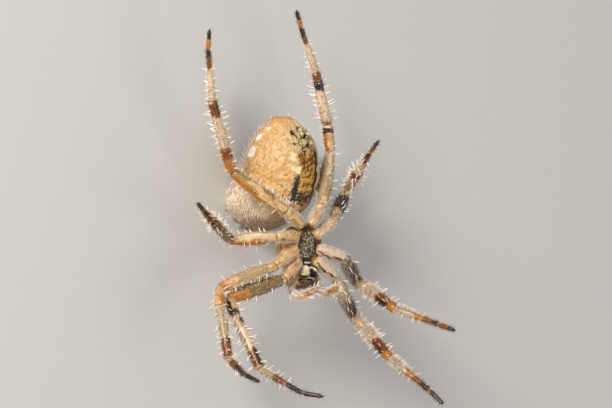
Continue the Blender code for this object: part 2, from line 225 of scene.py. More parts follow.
def add_shell(name, place, grid, material, nodes=(), paint=None):
    """Makes a piece of a closed surface on a grid of (rings, around), the rings closer together
    near the poles. paint(skin) gives the masks."""
    rings, around = grid
    along = -np.cos(math.pi * np.arange(1, rings + 1) / (rings + 1))
    turn = 2 * math.pi * np.arange(around) / around
    along = np.append(np.repeat(along, around), [-1.0, 1.0])
    turn = np.append(np.tile(turn, rings), [0.0, 0.0])
    skin = skin_at(place, along, turn)
    add_piece(name, skin.points, ring_faces(rings, around), material, nodes,
              paint(skin) if paint else None)

# %% [markdown]
# ## Small tools for finishes
# Horny skin is a clear brown layer over soft tissue, with colours in patches that have ragged
# edges. The shape cells write down where the patches are, as masks, and one material tool
# paints them in order over a mottled ground. Noise at a real size in millimetres breaks edges.

# %% Material tools
FRAY = 0.16  # size of the noise that frays the edge of a patch
EDGE = (0.22, 0.78)  # a patch fades in while its mask rises between these
RICHNESS = 1.1  # how much all colours are saturated


def rows(text):
    """The rows of a table written as text: commas between rows, spaces between values."""
    return [row.split() for row in text.split(", ") if row]


def srgb(code):
    """A hex colour as the linear numbers that a shader works with."""
    values = [int(code[i : i + 2], 16) / 255 for i in (0, 2, 4)]
    return [v / 12.92 if v <= 0.04045 else ((v + 0.055) / 1.055) ** 2.4 for v in values] + [1.0]


def add_node(tree, kind, sockets=None, out=0, **settings):
    """Adds one node and returns one of its outputs. sockets gives its inputs values, or other
    nodes' outputs to link to."""
    made = tree.nodes.new("ShaderNode" + kind)
    for setting, value in settings.items():
        setattr(made, setting, value)
    for socket, value in (sockets or {}).items():
        if isinstance(value, bpy.types.NodeSocket):
            tree.links.new(value, made.inputs[socket])
        else:
            made.inputs[socket].default_value = value
    return made.outputs[out]


def cuticle(name, ground, grain, layers="", lie=None, stretch=(1, 1, 1), relief=0.01, mottle=0.12,
            glow=None, coat=None, **sockets):
    """A material of horny skin.

    ground holds rows of place and hex, for a colour ramp over noise of the given grain in
    millimetres. layers holds rows of mask, hex and raggedness, painted over it in order. lie names
    the attribute that the noise follows instead of the object's own axes. relief is the height
    of the skin's grain in millimetres, and mottle the share by which the same grain lightens and
    darkens every colour. glow is (weight, reach of red, green and blue, millimetres) for light
    that enters and comes out again. coat is (weight, roughness) of a clear layer on top. The
    other values are set on the shader's sockets."""
    material = bpy.data.materials.new(name)
    material.use_nodes = True
    tree = material.node_tree
    shader = tree.nodes["Principled BSDF"]
    own = add_node(tree, "TexCoord", out="Object")
    place, scale = own, 1 / (grain * MM)
    if lie:
        place, scale = add_node(tree, "Attribute", out="Vector", attribute_name=lie), 1 / grain
    place = add_node(tree, "Mapping", {"Vector": place, "Scale": stretch})
    noise = add_node(tree, "TexNoise", {"Vector": place, "Scale": scale, "Detail": 5.0})
    colour = add_node(tree, "ValToRGB", {"Fac": noise})
    stops = colour.node.color_ramp.elements
    for _ in rows(ground)[2:]:  # it starts with two
        stops.new(0.5)
    for stop, (position, code) in zip(stops, rows(ground)):
        stop.position = float(position)
        stop.color = srgb(code)
    frays = add_node(tree, "TexNoise", {"Vector": own, "Scale": 1 / (FRAY * MM), "Detail": 3.0})
    for mask, code, raggedness in rows(layers):
        ragged = float(raggedness)
        where = add_node(tree, "Attribute", out="Fac", attribute_name=mask)
        frayed = add_node(tree, "Math", {0: frays, 1: ragged, 2: where}, operation="MULTIPLY_ADD")
        edge = add_node(tree, "MapRange", {
            "Value": frayed, "From Min": 0.5 * ragged + EDGE[0], "From Max": 0.5 * ragged + EDGE[1]
        }, interpolation_type="SMOOTHSTEP")
        colour = add_node(tree, "Mix", {0: edge, 6: colour, 7: srgb(code)}, 2, data_type="RGBA")
    shade = add_node(tree, "MapRange", {"Value": noise, "From Min": 0.3, "From Max": 0.7,
                                        "To Min": 1 - mottle, "To Max": 1 + mottle})
    mottled = add_node(tree, "HueSaturation",
                       {"Color": colour, "Value": shade, "Saturation": RICHNESS})
    tree.links.new(mottled, shader.inputs["Base Color"])
    if relief:
        grainy = add_node(tree, "Bump", {"Height": noise, "Distance": relief * MM, "Strength": 1.0})
        tree.links.new(grainy, shader.inputs["Normal"])
    if glow:
        weight, radius, reach = glow
        sockets |= {"Subsurface Weight": weight, "Subsurface Radius": radius,
                    "Subsurface Scale": reach * MM}
    if coat:
        sockets |= {"Coat Weight": coat[0], "Coat Roughness": coat[1]}
    for socket, value in sockets.items():
        shader.inputs[socket.replace("_", " ")].default_value = value
    return material

# %% [markdown]
# ## Legs: the line and the thickness
# Each leg is a chain of seven horny tubes, here coxa with trochanter, femur, patella, tibia,
# metatarsus and tarsus. The lengths and angles repeat those of the solid model. Averaging a
# point's place over a short stretch of the chain rounds every corner into a parabola, which is
# simpler than laying a curve through each joint, and it keeps the straight parts straight.

# %% Leg lengths and pose, as in the solid model
SEGMENTS = ("coxa", "femur", "patella", "tibia", "metatarsus", "tarsus")
LEG_LENGTHS = {
    "1": (2.30, 5.20, 2.40, 5.00, 4.60, 1.70),
    "2": (2.80, 5.10, 2.30, 4.60, 4.30, 1.60),
    "3": (2.55, 3.95, 1.60, 2.30, 2.40, 1.20),
    "4": (2.25, 5.50, 2.40, 4.60, 4.40, 1.55),
}
HIPS = {"1": (0.95, -2.70, -0.10), "2": (1.15, -1.75, -0.15), "3": (0.98, -0.72, -0.20),
        "4": (0.48, 0.22, -0.25)}
POSE = {  # azimuth and elevation of each segment in degrees
    "1_left": ((-138, 4), (-160, -22), (-118, 48), (-82, 28), (-60, 61), (-16, 59)),
    "2_left": ((-150, 1), (-157, -24), (-129, 35), (-95, 19), (-140, 62), (-73, 71)),
    "3_left": ((-179, 2), (-176, -24), (145, 7), (158, 28), (157, 28), (150, 24)),
    "4_left": ((147, 3), (138, -29), (122, 11), (120, 12), (103, 8), (96, 13)),
    "1_right": ((-33, 6), (-46, -16), (-130, 63), (-113, 58), (-68, 52), (-73, 48)),
    "2_right": ((-16, 11), (-26, -35), (-119, 67), (-116, 67), (-41, 62), (-53, 70)),
    "3_right": ((30, -4), (45, -18), (128, 53), (123, 56), (120, 53), (76, 38)),
    "4_right": ((49, -5), (59, -20), (103, 5), (109, 3), (121, 8), (122, 14)),
}
LEG_RADII = {  # (share of the segment's length, radius)
    "coxa": ((0.0, 0.36), (0.12, 0.46), (0.45, 0.505), (0.68, 0.47), (0.76, 0.41), (0.84, 0.45),
             (1.0, 0.4)),
    "femur": ((0.0, 0.4), (0.1, 0.49), (0.36, 0.615), (0.66, 0.595), (0.9, 0.46), (1.0, 0.38)),
    "patella": ((0.0, 0.37), (0.2, 0.43), (0.65, 0.46), (0.9, 0.43), (1.0, 0.37)),
    "tibia": ((0.0, 0.36), (0.1, 0.42), (0.4, 0.42), (0.75, 0.37), (0.93, 0.37), (1.0, 0.31)),
    "metatarsus": ((0.0, 0.26), (0.08, 0.29), (0.4, 0.24), (0.8, 0.19), (0.95, 0.19), (1.0, 0.16)),
    "tarsus": ((0.0, 0.16), (0.15, 0.19), (0.5, 0.185), (0.85, 0.16), (1.0, 0.12)),
}
LEG_STOUTNESS = {"1": 1.0, "2": 0.97, "3": 0.88, "4": 0.97}
WAIST = (0.13, 0.09)  # share by which a joint is narrower, and how far that reaches
RIM = (0.06, 0.2, 0.08)  # share by which the rim swells, its place before the joint, its reach
CORNER = 0.36  # half the stretch over which a corner is averaged
AVERAGED = 33  # places in that stretch
STEP = 0.05  # between the points of a line, in millimetres

# %% Leg line and thickness
Line = namedtuple("Line", "along path reach backs sides forward radius")


def direction(azimuth, elevation):
    """The unit vector at a compass angle and a height angle, in degrees."""
    around, up = math.radians(azimuth), math.radians(elevation)
    level = math.cos(up)
    return np.array([level * math.cos(around), level * math.sin(around), math.sin(up)])


def leg_joints(leg):
    """Hip, joints and tip: each point is the last one plus a length along a direction."""
    hip = np.array(HIPS[leg[0]]) * ((1 if "right" in leg else -1), 1, 1)
    spans = [l * direction(*turned) for l, turned in zip(LEG_LENGTHS[leg[0]], POSE[leg])]
    return hip + np.vstack([np.zeros(3), np.cumsum(spans, axis=0)])


def crossing_frame(path, back=(0.0, 0.0, -1.0)):
    """Two directions across the path at each point, the first kept as near the spider's back as
    it can be without twisting, and the path's own direction."""
    forward = unit(np.gradient(path, axis=0))
    first, backs = np.array(back), []
    for way in forward:
        first = unit(first - way * (first @ way))
        backs.append(first)
    backs = np.array(backs)
    return backs, np.cross(forward, backs), forward


def rounded_line(joints, radius_at, corner=CORNER, step=STEP):
    """A chain of joints as a line with a point every step, each the mean of the chain within
    corner to either side.

    It holds how far along the chain each point lies, the points, where the joints lie, the two
    directions across and the one forward at each point, and the radius there."""
    spans = np.diff(joints, axis=0)
    lengths = np.linalg.norm(spans, axis=1)
    reach = np.concatenate([[0.0], np.cumsum(lengths)])
    before = joints[0] - spans[0] / lengths[0] * corner
    after = joints[-1] + spans[-1] / lengths[-1] * corner
    knots = np.concatenate([[-corner], reach, [reach[-1] + corner]])
    chain = np.vstack([before, joints, after])
    along = np.linspace(0, reach[-1], int(reach[-1] / step) + 1)
    window = along[:, None] + np.linspace(-corner, corner, AVERAGED)
    path = np.stack([np.interp(window, knots, chain[:, axis]).mean(1) for axis in range(3)], 1)
    return Line(along, path, reach, *crossing_frame(path), radius_at(along, reach))


def place_on(reach, segment, share):
    """How far along a leg a share of one segment lies."""
    k = SEGMENTS.index(segment)
    return reach[k] + share * (reach[k + 1] - reach[k])


def leg_radius(along, reach, leg):
    """Radius by share of each segment, with a narrow waist and a swollen rim at every joint."""
    places = [place_on(reach, name, share) for name in SEGMENTS for share, _ in LEG_RADII[name]]
    radii = [radius for name in SEGMENTS for _, radius in LEG_RADII[name]]
    radius = np.interp(along, places, radii) * LEG_STOUTNESS[leg[0]]
    for joint in reach[1:-1]:
        radius *= (1 - WAIST[0] * bell(along, joint, WAIST[1])
                   + RIM[0] * bell(along, joint - RIM[1], RIM[2]))
    return radius

# %% [markdown]
# ## Legs: the bands
# Bands of cream, amber, red-brown and near-black ring the legs of this species, and legs differ.
# Each band is a share of one segment, and some cover one side of it only. Some one-sided patches
# are painted light: pale streaks along a few femora, coxae and patellae are painted highlights, and
# amber stripes along the edges of some femora and a patella are painted glow of light through the
# clear horn. The paint shade is mostly painted shade on parts that lie in shade. Bands are stored
# as masks at every point of the skin, so that the material, and the hairs that grow there, know
# which band they are in.

# %% Leg bands
# On the right front coxae the shade patch over the last quarter at 150 degrees is painted shade
# where the coxa meets the femur in shade; the thin shade line at 190 degrees is their own colour.
PALE_COXA = (
    "pale 0 0.9, rust 0 0.9 226 11, dark 0.2 0.95 233 7, shade 0.1 0.8 190 7, shade 0.75 1 150 60"
)
BANDS = {  # in each segment: paint, from, to and, for a patch, its middle and half width in degrees
    "1_left": {
        "coxa": "rosy 0.4 1 180 50, rust 0.72 0.95 150 22, rust 0.3 0.42 200 14",
        "femur": "bark 0.05 0.84, amber 0.64 1 150 58, amber 0.84 1",
        "patella": "rosy 0.05 0.9, dark 0.25 0.9 290 30, dark 0.8 1 240 62",
        "tibia": "grey 0.1 0.62, pale 0.2 0.62 225 45, dark 0.04 0.15 205 32, rust 0.64 0.95, "
                 "dark 0.62 0.96 197 36",
        "metatarsus": "grey 0 0.3, rust 0.3 0.6, dark 0.62 1",
        "tarsus": "dark 0 1.3",
    },
    "2_left": {
        # The pale line at 152 degrees along this femur is a painted highlight.
        "femur": "grey 0.15 0.9, amber 0.3 1 285 20, pale 0.1 1 152 10, rosy 0.7 1 210 50, "
                 "olive 0.1 0.95 122 20, amber 0.9 1",
        "patella": "rosy 0.05 0.9, amber 0.55 1 190 45",
        "tibia": "grey 0.05 0.62, dark 0.1 0.7 90 45, rust 0.62 1, dark 0.6 0.86 130 70",
        "metatarsus": "grey 0 0.25, rust 0.25 0.55, dark 0.5 1",
        "tarsus": "dark 0 1.3",
    },
    "3_left": {
        # On this leg the pale patches at 222 degrees on the coxa and 205 degrees on the femur are
        # painted highlights, and the amber at 115 degrees along the femur is painted glow of light
        # through its edge.
        "coxa": "pale 0.68 1 222 36, rust 0.7 0.84 150 18",
        "femur": "amber 0.2 1 115 38, pale 0 0.85 205 24, amber 0.95 1",
        "patella": "olive 0.1 1, dark 0 0.3 205 42, amber 0 0.4 60 50",
        "tibia": "olive 0.1 0.5, rust 0.45 0.75, dark 0.85 1",
        "metatarsus": "amber 0 0.3, rust 0.25 1, dark 0.6 1 200 70",
        "tarsus": "dark 0.1 1.3",
    },
    "4_left": {
        # The amber stripes at 75 and 110 degrees along this femur are painted glow of light through
        # its clear edge.
        "femur": "olive 0.24 0.48 225 48, olive 0.72 0.92 200 60, amber 0.1 1 75 30, "
                 "amber 0.5 1 110 30, olive 0.9 1 190 50",
        "patella": "amber 0 1 110 75, rust 0.6 1 160 70",
        "tibia": "pale 0.02 0.66, rust 0.68 0.98, dark 0.7 0.97 240 60",
        "metatarsus": "pale 0 0.58, rust 0.64 0.86, dark 0.84 1",
        "tarsus": "amber 0 0.5, dark 0.55 1.3",
    },
    "1_right": {
        "coxa": PALE_COXA,
        # The shade band over most of this femur is painted shade.
        "femur": "grey 0 0.5, shade 0.1 0.95, dark 0.56 0.82 160 95, rust 0.8 0.95 200 60",
        "patella": "pale 0.05 0.9",
        "tibia": "pale 0 0.44, rust 0.46 0.86, dark 0.5 0.8 300 60, amber 0.84 1",
        "metatarsus": "pale 0 0.42, amber 0.42 0.62, rust 0.6 1, dark 0.8 1",
        "tarsus": "rust 0 0.24, dark 0.2 1.3",
    },
    "2_right": {
        "coxa": PALE_COXA,
        # shade over this femur and over the patella's first part is painted shade.
        "femur": "shade 0 1, dark 0.22 0.64 160 95, rust 0.66 0.92 160 60",
        "patella": "shade 0 0.4, pale 0.5 1",
        "tibia": "pale 0 0.38, rust 0.42 0.84, dark 0.45 0.78 300 60, amber 0.82 1",
        "metatarsus": "pale 0 0.42, amber 0.44 0.66, rust 0.64 1, dark 0.82 1 200 70",
        "tarsus": "rust 0 0.5, dark 0.5 1.3",
    },
    "3_right": {
        "coxa": "rosy 0.1 1 200 60, pale 0.1 0.8 180 14",
        "femur": "olive 0 1, dark 0.3 0.7",
        "patella": "grey 0 1",
        "tibia": "rosy 0 0.3, rust 0.3 0.62, dark 0.34 0.6 240 70, pale 0.62 1",
        "metatarsus": "pale 0 0.35, rust 0.4 0.8, dark 0.76 0.95",
        "tarsus": "rust 0 0.45, dark 0.4 1.3",
    },
    "4_right": {
        "coxa": "rosy 0.15 0.9 200 60",
        # On this leg the pale streaks at 145 degrees on the femur and patella are painted
        # highlights, the shade over the femur's first half is painted shade, and the amber at 90
        # degrees on the patella is painted glow of light through its edge.
        "femur": "grey 0.1 0.8, dark 0.15 0.5 250 45, shade 0.12 0.6, pale 0.5 1 145 18, "
                 "rosy 0.7 1 215 30",
        "patella": "pale 0 0.4 145 22, amber 0 0.7 90 22, rosy 0 0.6 230 50, dark 0.7 0.88, "
                   "pale 0.9 0.98",
        "tibia": "dark 0.01 0.06, pale 0.08 0.62, dark 0.66 0.86, rust 0.86 1",
        "metatarsus": "pale 0 0.62, rust 0.66 0.86, dark 0.82 1",
        "tarsus": "amber 0 0.5, dark 0.55 1.3",
    },
}
PAINTS = ("shade", "grey", "olive", "bark", "rosy", "pale", "amber", "rust", "dark")
RING_EDGE, PATCH_EDGE = 0.13, 0.3  # half the width of the soft edge of a ring and of a patch


# %% Band masks
def band_masks(leg, along, turn, reach):
    """For each paint, 1 inside its bands and 0 outside, with soft edges. A patch also fades
    round the leg, with the cosine of the angle from its middle. The edges waver with sines of
    the place and the angle. The mask joint is a narrow bell over every joint."""
    masks = {paint: np.zeros_like(along) for paint in PAINTS}
    masks["joint"] = sum(bell(along, joint, 0.05) for joint in reach[1:-1])
    along, turn = (along + 0.09 * np.sin(2 * turn + 2 * along),
                   turn + 0.12 * np.sin(3.7 * along + 1) + 0.07 * np.sin(9 * along))
    for segment, bands in BANDS[leg].items():
        for paint, *numbers in rows(bands):
            start, end, *patch = map(float, numbers)
            start, end = place_on(reach, segment, start), place_on(reach, segment, end)
            soft = PATCH_EDGE if patch else RING_EDGE
            inside = (step_up(start - soft, start + soft, along)
                      - step_up(end - soft, end + soft, along))
            if patch:
                middle, half = np.radians(patch)
                inside = inside * step_up(math.cos(half * 1.5), math.cos(half * 0.5),
                                          np.cos(turn - middle))
            masks[paint] = np.maximum(masks[paint], inside)
    return masks

# %% [markdown]
# ## Legs: the horn they are made of
# A leg's cuticle is clear amber horn over pale tissue, so light enters it, runs along it and
# comes out again: subsurface scattering with a short reach gives that glow. Under a thin oily
# coat the gloss is satin. Fine streaks run lengthwise: the point values named lie tell the noise
# how far along and round the leg it is.

# %% Leg cuticle
leg_horn = cuticle(
    "leg_cuticle_clear_horn",
    ground="0.32 9C7A50, 0.5 C29D6C, 0.68 DCC091", grain=0.55, lie="lie", stretch=(0.55, 1.2, 1.2),
    # shade is mostly painted shade; pale and amber also carry painted highlights and painted glow
    layers=("shade 75613F 1, grey A38A62 1.3, olive 8A6F42 1.2, bark 74592C 1.2, "
            "rosy C49C74 1.3, pale D6BA98 1.2, amber B0722E 1.1, rust 773F13 1, dark 22130B 1, "
            "joint 85532F 0.4"),
    relief=0.02, mottle=0.22, glow=(0.25, (1.0, 0.55, 0.3), 0.25), coat=(0.2, 0.25), Roughness=0.4)


# %% Tube tool
def add_tube(name, line, around, material, nodes=(), paint=None):
    """Makes a piece of a round tube: each point lies at path + radius * (cos * back + sin * side)
    of its angle, and the tip is a low cone. The mask lie holds the distance along in
    millimetres and the angle's cosine and sine; paint(points, lie) gives more masks."""
    turn = 2 * math.pi * np.arange(around) / around
    ring = line.backs[:, None] * np.cos(turn)[:, None] + line.sides[:, None] * np.sin(turn)[:, None]
    points = (line.path[:, None] + ring * line.radius[:, None, None]).reshape(-1, 3)
    tip = line.path[-1] + line.forward[-1] * line.radius[-1] * 0.5
    points = np.vstack([points, line.path[0], tip])
    lie = np.stack(np.broadcast_arrays(line.along[:, None], np.cos(turn), np.sin(turn)), -1)
    lie = np.vstack([lie.reshape(-1, 3), [line.along[0], 0, 0], [line.along[-1], 0, 0]])
    masks = {"lie": lie} | (paint(points, lie) if paint else {})
    add_piece(name, points, ring_faces(len(line.along), around), material, nodes, masks)


# %% Leg skins
LEG_AROUND = 32
leg_lines = {}
for leg in POSE:
    line = rounded_line(leg_joints(leg), lambda along, reach: leg_radius(along, reach, leg))
    leg_lines[leg] = line
    add_tube(f"leg_{leg}_skin", line, LEG_AROUND, leg_horn,
             [f"leg_{leg}_{part}" for part in ("coxa", "femur", "tibia", "foot")],
             lambda points, lie: band_masks(
                 leg, lie[:, 0], np.arctan2(lie[:, 2], lie[:, 1]), line.reach))

# %% [markdown]
# ## Abdomen: the form
# The abdomen is a soft egg under a thin skin, with a shoulder hump on each side in front and a
# swelling over the lungs. It repeats the solid's formula on a fine grid, a little inside it to
# leave room for hair, and adds what the solid leaves out: shallow dents where muscles pull the
# skin in, fine pleats that run to the waist, a crease behind the lungs and folds round the
# spinnerets. A formula keeps all of that in one place, where sculpting would not.

# %% Abdomen surface
ABDOMEN = Sizes(front=-0.3, rear=9.3, radius=3.42, fuller_front=0.07, axis_z=-3.08,
                axis_bend=0.0033, belly_taper=0.05)
ABDOMEN_HALF = (ABDOMEN.rear - ABDOMEN.front) / 2
ABDOMEN_MIDDLE = (ABDOMEN.rear + ABDOMEN.front) / 2
SHOULDER = Sizes(rise=1.25, y=1.9, spread_y=1.45, turn=-36.0, spread_turn=34.0)
EPIGASTRIC = Sizes(rise=0.75, y=1.55, spread_y=1.1, turn=90.0, spread_turn=32.0)
HAIR_DEPTH = 0.04  # room left between skin and solid
SPINNERETS_Y = 7.3
UNEVEN = ((0.03, 1.1, 3), (0.014, 0.4, 4), (0.006, 0.16, 5))  # height, size and seed of hills
MUSCLE_MARKS = (3.35, 4.3, 5.2)  # pairs of dents along the belly
SKIN_LIFT, HAIR_LIFT = 0.01, 0.005  # how far skin and hair stay off the floor


def swelling(hump, y, degrees):
    """A hill round one place of the abdomen, given by y and by the angle above its side."""
    return hump.rise * bell(y, hump.y, hump.spread_y) * bell(degrees, hump.turn, hump.spread_turn)


def smooth_abdomen(along, turn):
    """An egg: a circle swept along a bent axis, with humps added; turn 90 degrees is the belly."""
    y = ABDOMEN_MIDDLE + ABDOMEN_HALF * along
    ring, side, belly = dome(along), np.cos(turn), np.sin(turn)
    degrees = np.degrees(np.arcsin(belly))
    reach = ABDOMEN.radius * ring * (1 - ABDOMEN.fuller_front * along) - HAIR_DEPTH * ring
    reach = reach + (swelling(SHOULDER, y, degrees) + swelling(EPIGASTRIC, y, degrees)) * ring
    axis_z = ABDOMEN.axis_z - ABDOMEN.axis_bend * (ABDOMEN.rear - y) ** 3
    narrow = 1 - ABDOMEN.belly_taper * (1 + belly)
    return np.stack([reach * side * narrow, y, axis_z + reach * belly], -1)


def abdomen_place(along, turn):
    """The egg with its dents, pleats and folds, pushed in or out along the line from its axis."""
    points = smooth_abdomen(along, turn)
    x, y, belly = points[:, 0], points[:, 1], np.sin(turn)
    outwards = unit(np.stack([np.cos(turn), 0.35 * along, belly], -1))
    on_belly = step_up(0.3, 0.8, belly)
    rise = sum(height * hills(points, size, seed) for height, size, seed in UNEVEN)
    pleats = np.sin(turn * 64 + 0.8 * hills(points, 1.5, 6)) * step_up(-0.3, -0.75, along)
    crease = bell(y, 2.85 - 0.12 * x**2, 0.13) * on_belly * bell(x, 0, 2.2)
    away = np.hypot(x, (y - SPINNERETS_Y) * 1.15)
    folds = 0.035 * np.cos(away * 17) * bell(away, 0.75, 0.55) - 0.1 * bell(away, 0.0, 0.55)
    rise += 0.012 * pleats - 0.09 * crease + folds * on_belly
    for mark_y in MUSCLE_MARKS:
        rise -= 0.035 * bell(np.abs(x), 0.5, 0.12) * bell(y, mark_y, 0.14) * on_belly
    points = points + outwards * rise[:, None]
    points[:, 2] = np.maximum(points[:, 2], FLOOR + SKIN_LIFT)
    return points

# %% [markdown]
# ## Abdomen: the markings
# A light tan skin shows cream patches of waste crystals under it, and pigment makes the rest. On
# the belly a golden field lies between two black bands with cream blotches, and dark rays run
# out between the spinnerets. The back has a brown leaf with a pale scalloped edge, and the white
# cross that names the species. Each marking is a soft oval or stripe in the skin's own places.

# %% Abdomen markings
FIELD_X, FIELD_Y = 0.14, 4.55  # middle of the golden field
# Ovals, each x and y of its middle and half its size both ways: blotches beside the field, and
# the cross, its arms and the pairs of dots behind it.
BLOTCHES = ((1.42, 5.95, 0.18, 0.34), (1.02, 4.8, 0.24, 0.3), (1.45, 4.95, 0.14, 0.2))
CROSS = (*((0, y, 0.16, 0.26) for y in (1.2, 1.9, 2.6, 3.35, 4.1)),
         *((x, 2.6 - x * 0.15, 0.24, 0.17) for x in (0.45, 0.95, 1.4)),
         *((0.25, y, 0.13, 0.16) for y in (5.0, 5.8, 6.6)))
FLANK_PATCHES = (  # degrees from the belly, y, half its size along y, strength
    (104, 6.35, 0.35, 1.4), (102, 7.6, 0.26, 0.9), (84, 8.3, 0.16, 0.6))


def abdomen_masks(skin):
    """The strength of each paint from 0 to 1 at each point of the skin."""
    points, x, y, belly = skin.points, skin.x, skin.y, skin.up
    height = np.degrees(np.arcsin(belly))
    degrees = np.where(skin.side > 0, height, 180 - height)
    on_belly, on_back = step_up(0.35, 0.75, belly), step_up(-0.3, -0.6, belly)

    # Belly: the golden field, the black bands beside it, and the rays round the spinnerets.
    inner = np.maximum(spot(x, y, FIELD_X, FIELD_Y, 0.78, 1.75),
                       spot(x, y, FIELD_X, 5.5, 1.05, 0.72))
    outer = spot(x, y, FIELD_X, FIELD_Y - 0.1, 1.16, 2.1)
    side = abs(x - FIELD_X) + 0.07 * hills(points, 0.3, 15)
    border = bell(side + 0.05 * hills(points, 0.12, 20), 1.0, 0.3) * span(y, 2.1, 2.6, 4.0, 4.8)
    border = border + bell(side, 1.0, 0.26) * span(y, 3.2, 4.2, 6.2, 6.9) * (x > 0)
    away = np.hypot(x, (y - SPINNERETS_Y) * 1.1)
    ray = np.arctan2(x, y - SPINNERETS_Y)
    rays = step_up(0.4, 0.85, np.cos(ray * 7 + 0.4 + 1.5 * hills(points, 0.5, 22)))
    rays = rays * span(away, 0.35, 0.55, 1.1, 1.45)
    lungs = spot(abs(x), y, 1.15, 2.25, 0.62, 0.26) * on_belly
    lung_specks = 0.8 * lungs * step_up(0.0, 0.8, hills(points, 0.15, 12))
    front_specks = 1.1 * spot(x, y, FIELD_X, 2.55, 1.0, 0.42) * step_up(
        -0.5, 0.4, hills(points * (0.7, 1.0, 0.7), 0.2, 21))
    clouds = inner * (0.5 + 0.55 * hills(points * (0.6, 1.0, 0.6), 0.24, 14)
                      + 0.45 * step_up(4.9, 5.8, y))
    rim_dots = 0.42 * bell(side, 1.28, 0.08) * span(y, 2.2, 2.6, 3.8, 4.4)

    # Back: a leaf whose edge swings in and out, and the cross of white dots.
    half_leaf = 2.3 * dome((y - 4.2) / 5.4) * (1 + 0.1 * np.sin(y * 3.6))
    leaf = step_up(half_leaf + 0.1, half_leaf - 0.1, abs(x)) * on_back
    leaf_edge = bell(abs(x), half_leaf + 0.12, 0.14) * on_back
    cross = spots(abs(x), y, CROSS) * on_back

    # Flanks: fine flecks, stripes that run to the waist, and a few pale patches.
    flecks = 0.7 * hills(points, 0.3, 11) + 0.6 * hills(points * (1.0, 0.7, 1.0), 0.13, 24)
    stripes = 0.5 + 0.5 * np.sin(skin.turn * 76 + 2.5 * hills(points, 0.9, 13))
    stripes = stripes * step_up(3.8, 2.8, y) * (1 - 0.5 * on_belly)
    patches = sum(strength * spot(abs(degrees - 90), y, patch, patch_y, 7.5, size)
                  for patch, patch_y, size, strength in FLANK_PATCHES)
    return {
        "pale": step_up(4.4, 2.4, y) * step_up(1.05, 0.4, belly),
        "stripe": 0.62 * stripes + 0.5 * step_up(1.1, 0.4, y),
        "orange": np.clip(step_up(8.5, 9.3, y)
                          + 0.3 * bell(belly, -0.35, 0.2) * step_up(5.0, 7.0, y), 0, 1),
        "tan": np.clip(0.48 + 0.3 * flecks, 0, 1) * step_up(3.0, 4.2, y) * (1 - outer * on_belly),
        "leaf": leaf * 0.9,
        "gold": inner * on_belly,
        "umber": np.clip((clouds + bell(y, 2.3, 0.4) * bell(x, 0.1, 0.6)) * on_belly, 0, 1),
        "black": np.clip(border * 0.95 + rays * 1.1 + lung_specks + front_specks, 0, 1) * on_belly,
        "olive": np.clip(spot(x, y, 0, 7.25, 1.3, 1.0) - rays, 0, 1) * on_belly,
        "cream": np.clip(spots(side, y, BLOTCHES) * on_belly + leaf_edge, 0, 1),
        "white": np.clip(cross + 0.7 * lungs + patches + rim_dots * on_belly, 0, 1),
    }

# %% [markdown]
# ## Abdomen: the skin
# Spider skin here is leathery and matt, faintly oily, and the tissue under it lets some light
# through. The ground is mottled at about half a millimetre, the size of the crystal cells.

# %% Abdomen skin
abdomen_leather = cuticle(
    "abdomen_soft_leathery_cuticle",
    ground="0.3 A37640, 0.43 C3985E, 0.56 D5AE75, 0.72 E2C08A", grain=0.3,
    layers=("pale E6D0B2 0.7, stripe 9A7B5A 1.2, tan C4965A 1.2, orange D8A259 0.9, "
            "leaf 6E4826 0.7, gold D09F48 0.95, umber 6A4116 1.1, olive B39C6E 1, "
            "cream E6D0A2 0.8, white F4ECDD 0.9, black 16110D 1"),
    relief=0.02, glow=(0.15, (1.0, 0.6, 0.35), 0.3), Roughness=0.5)
add_shell("abdomen_skin", abdomen_place, (280, 330), abdomen_leather, ["abdomen"],
          abdomen_masks)

# %% [markdown]
# ## Hair and spines
# A spider's hair is hollow horn. Each hair here is a tapering horn of three sides, which is few
# enough to make thousands, with a bend in it and its own small patch of the map that colours
# are baked to, at its root's place.

# %% Hair tool
BAKE_PATCH = 0.003
BEND = 0.15  # how far a hair bends over, as a share of its length


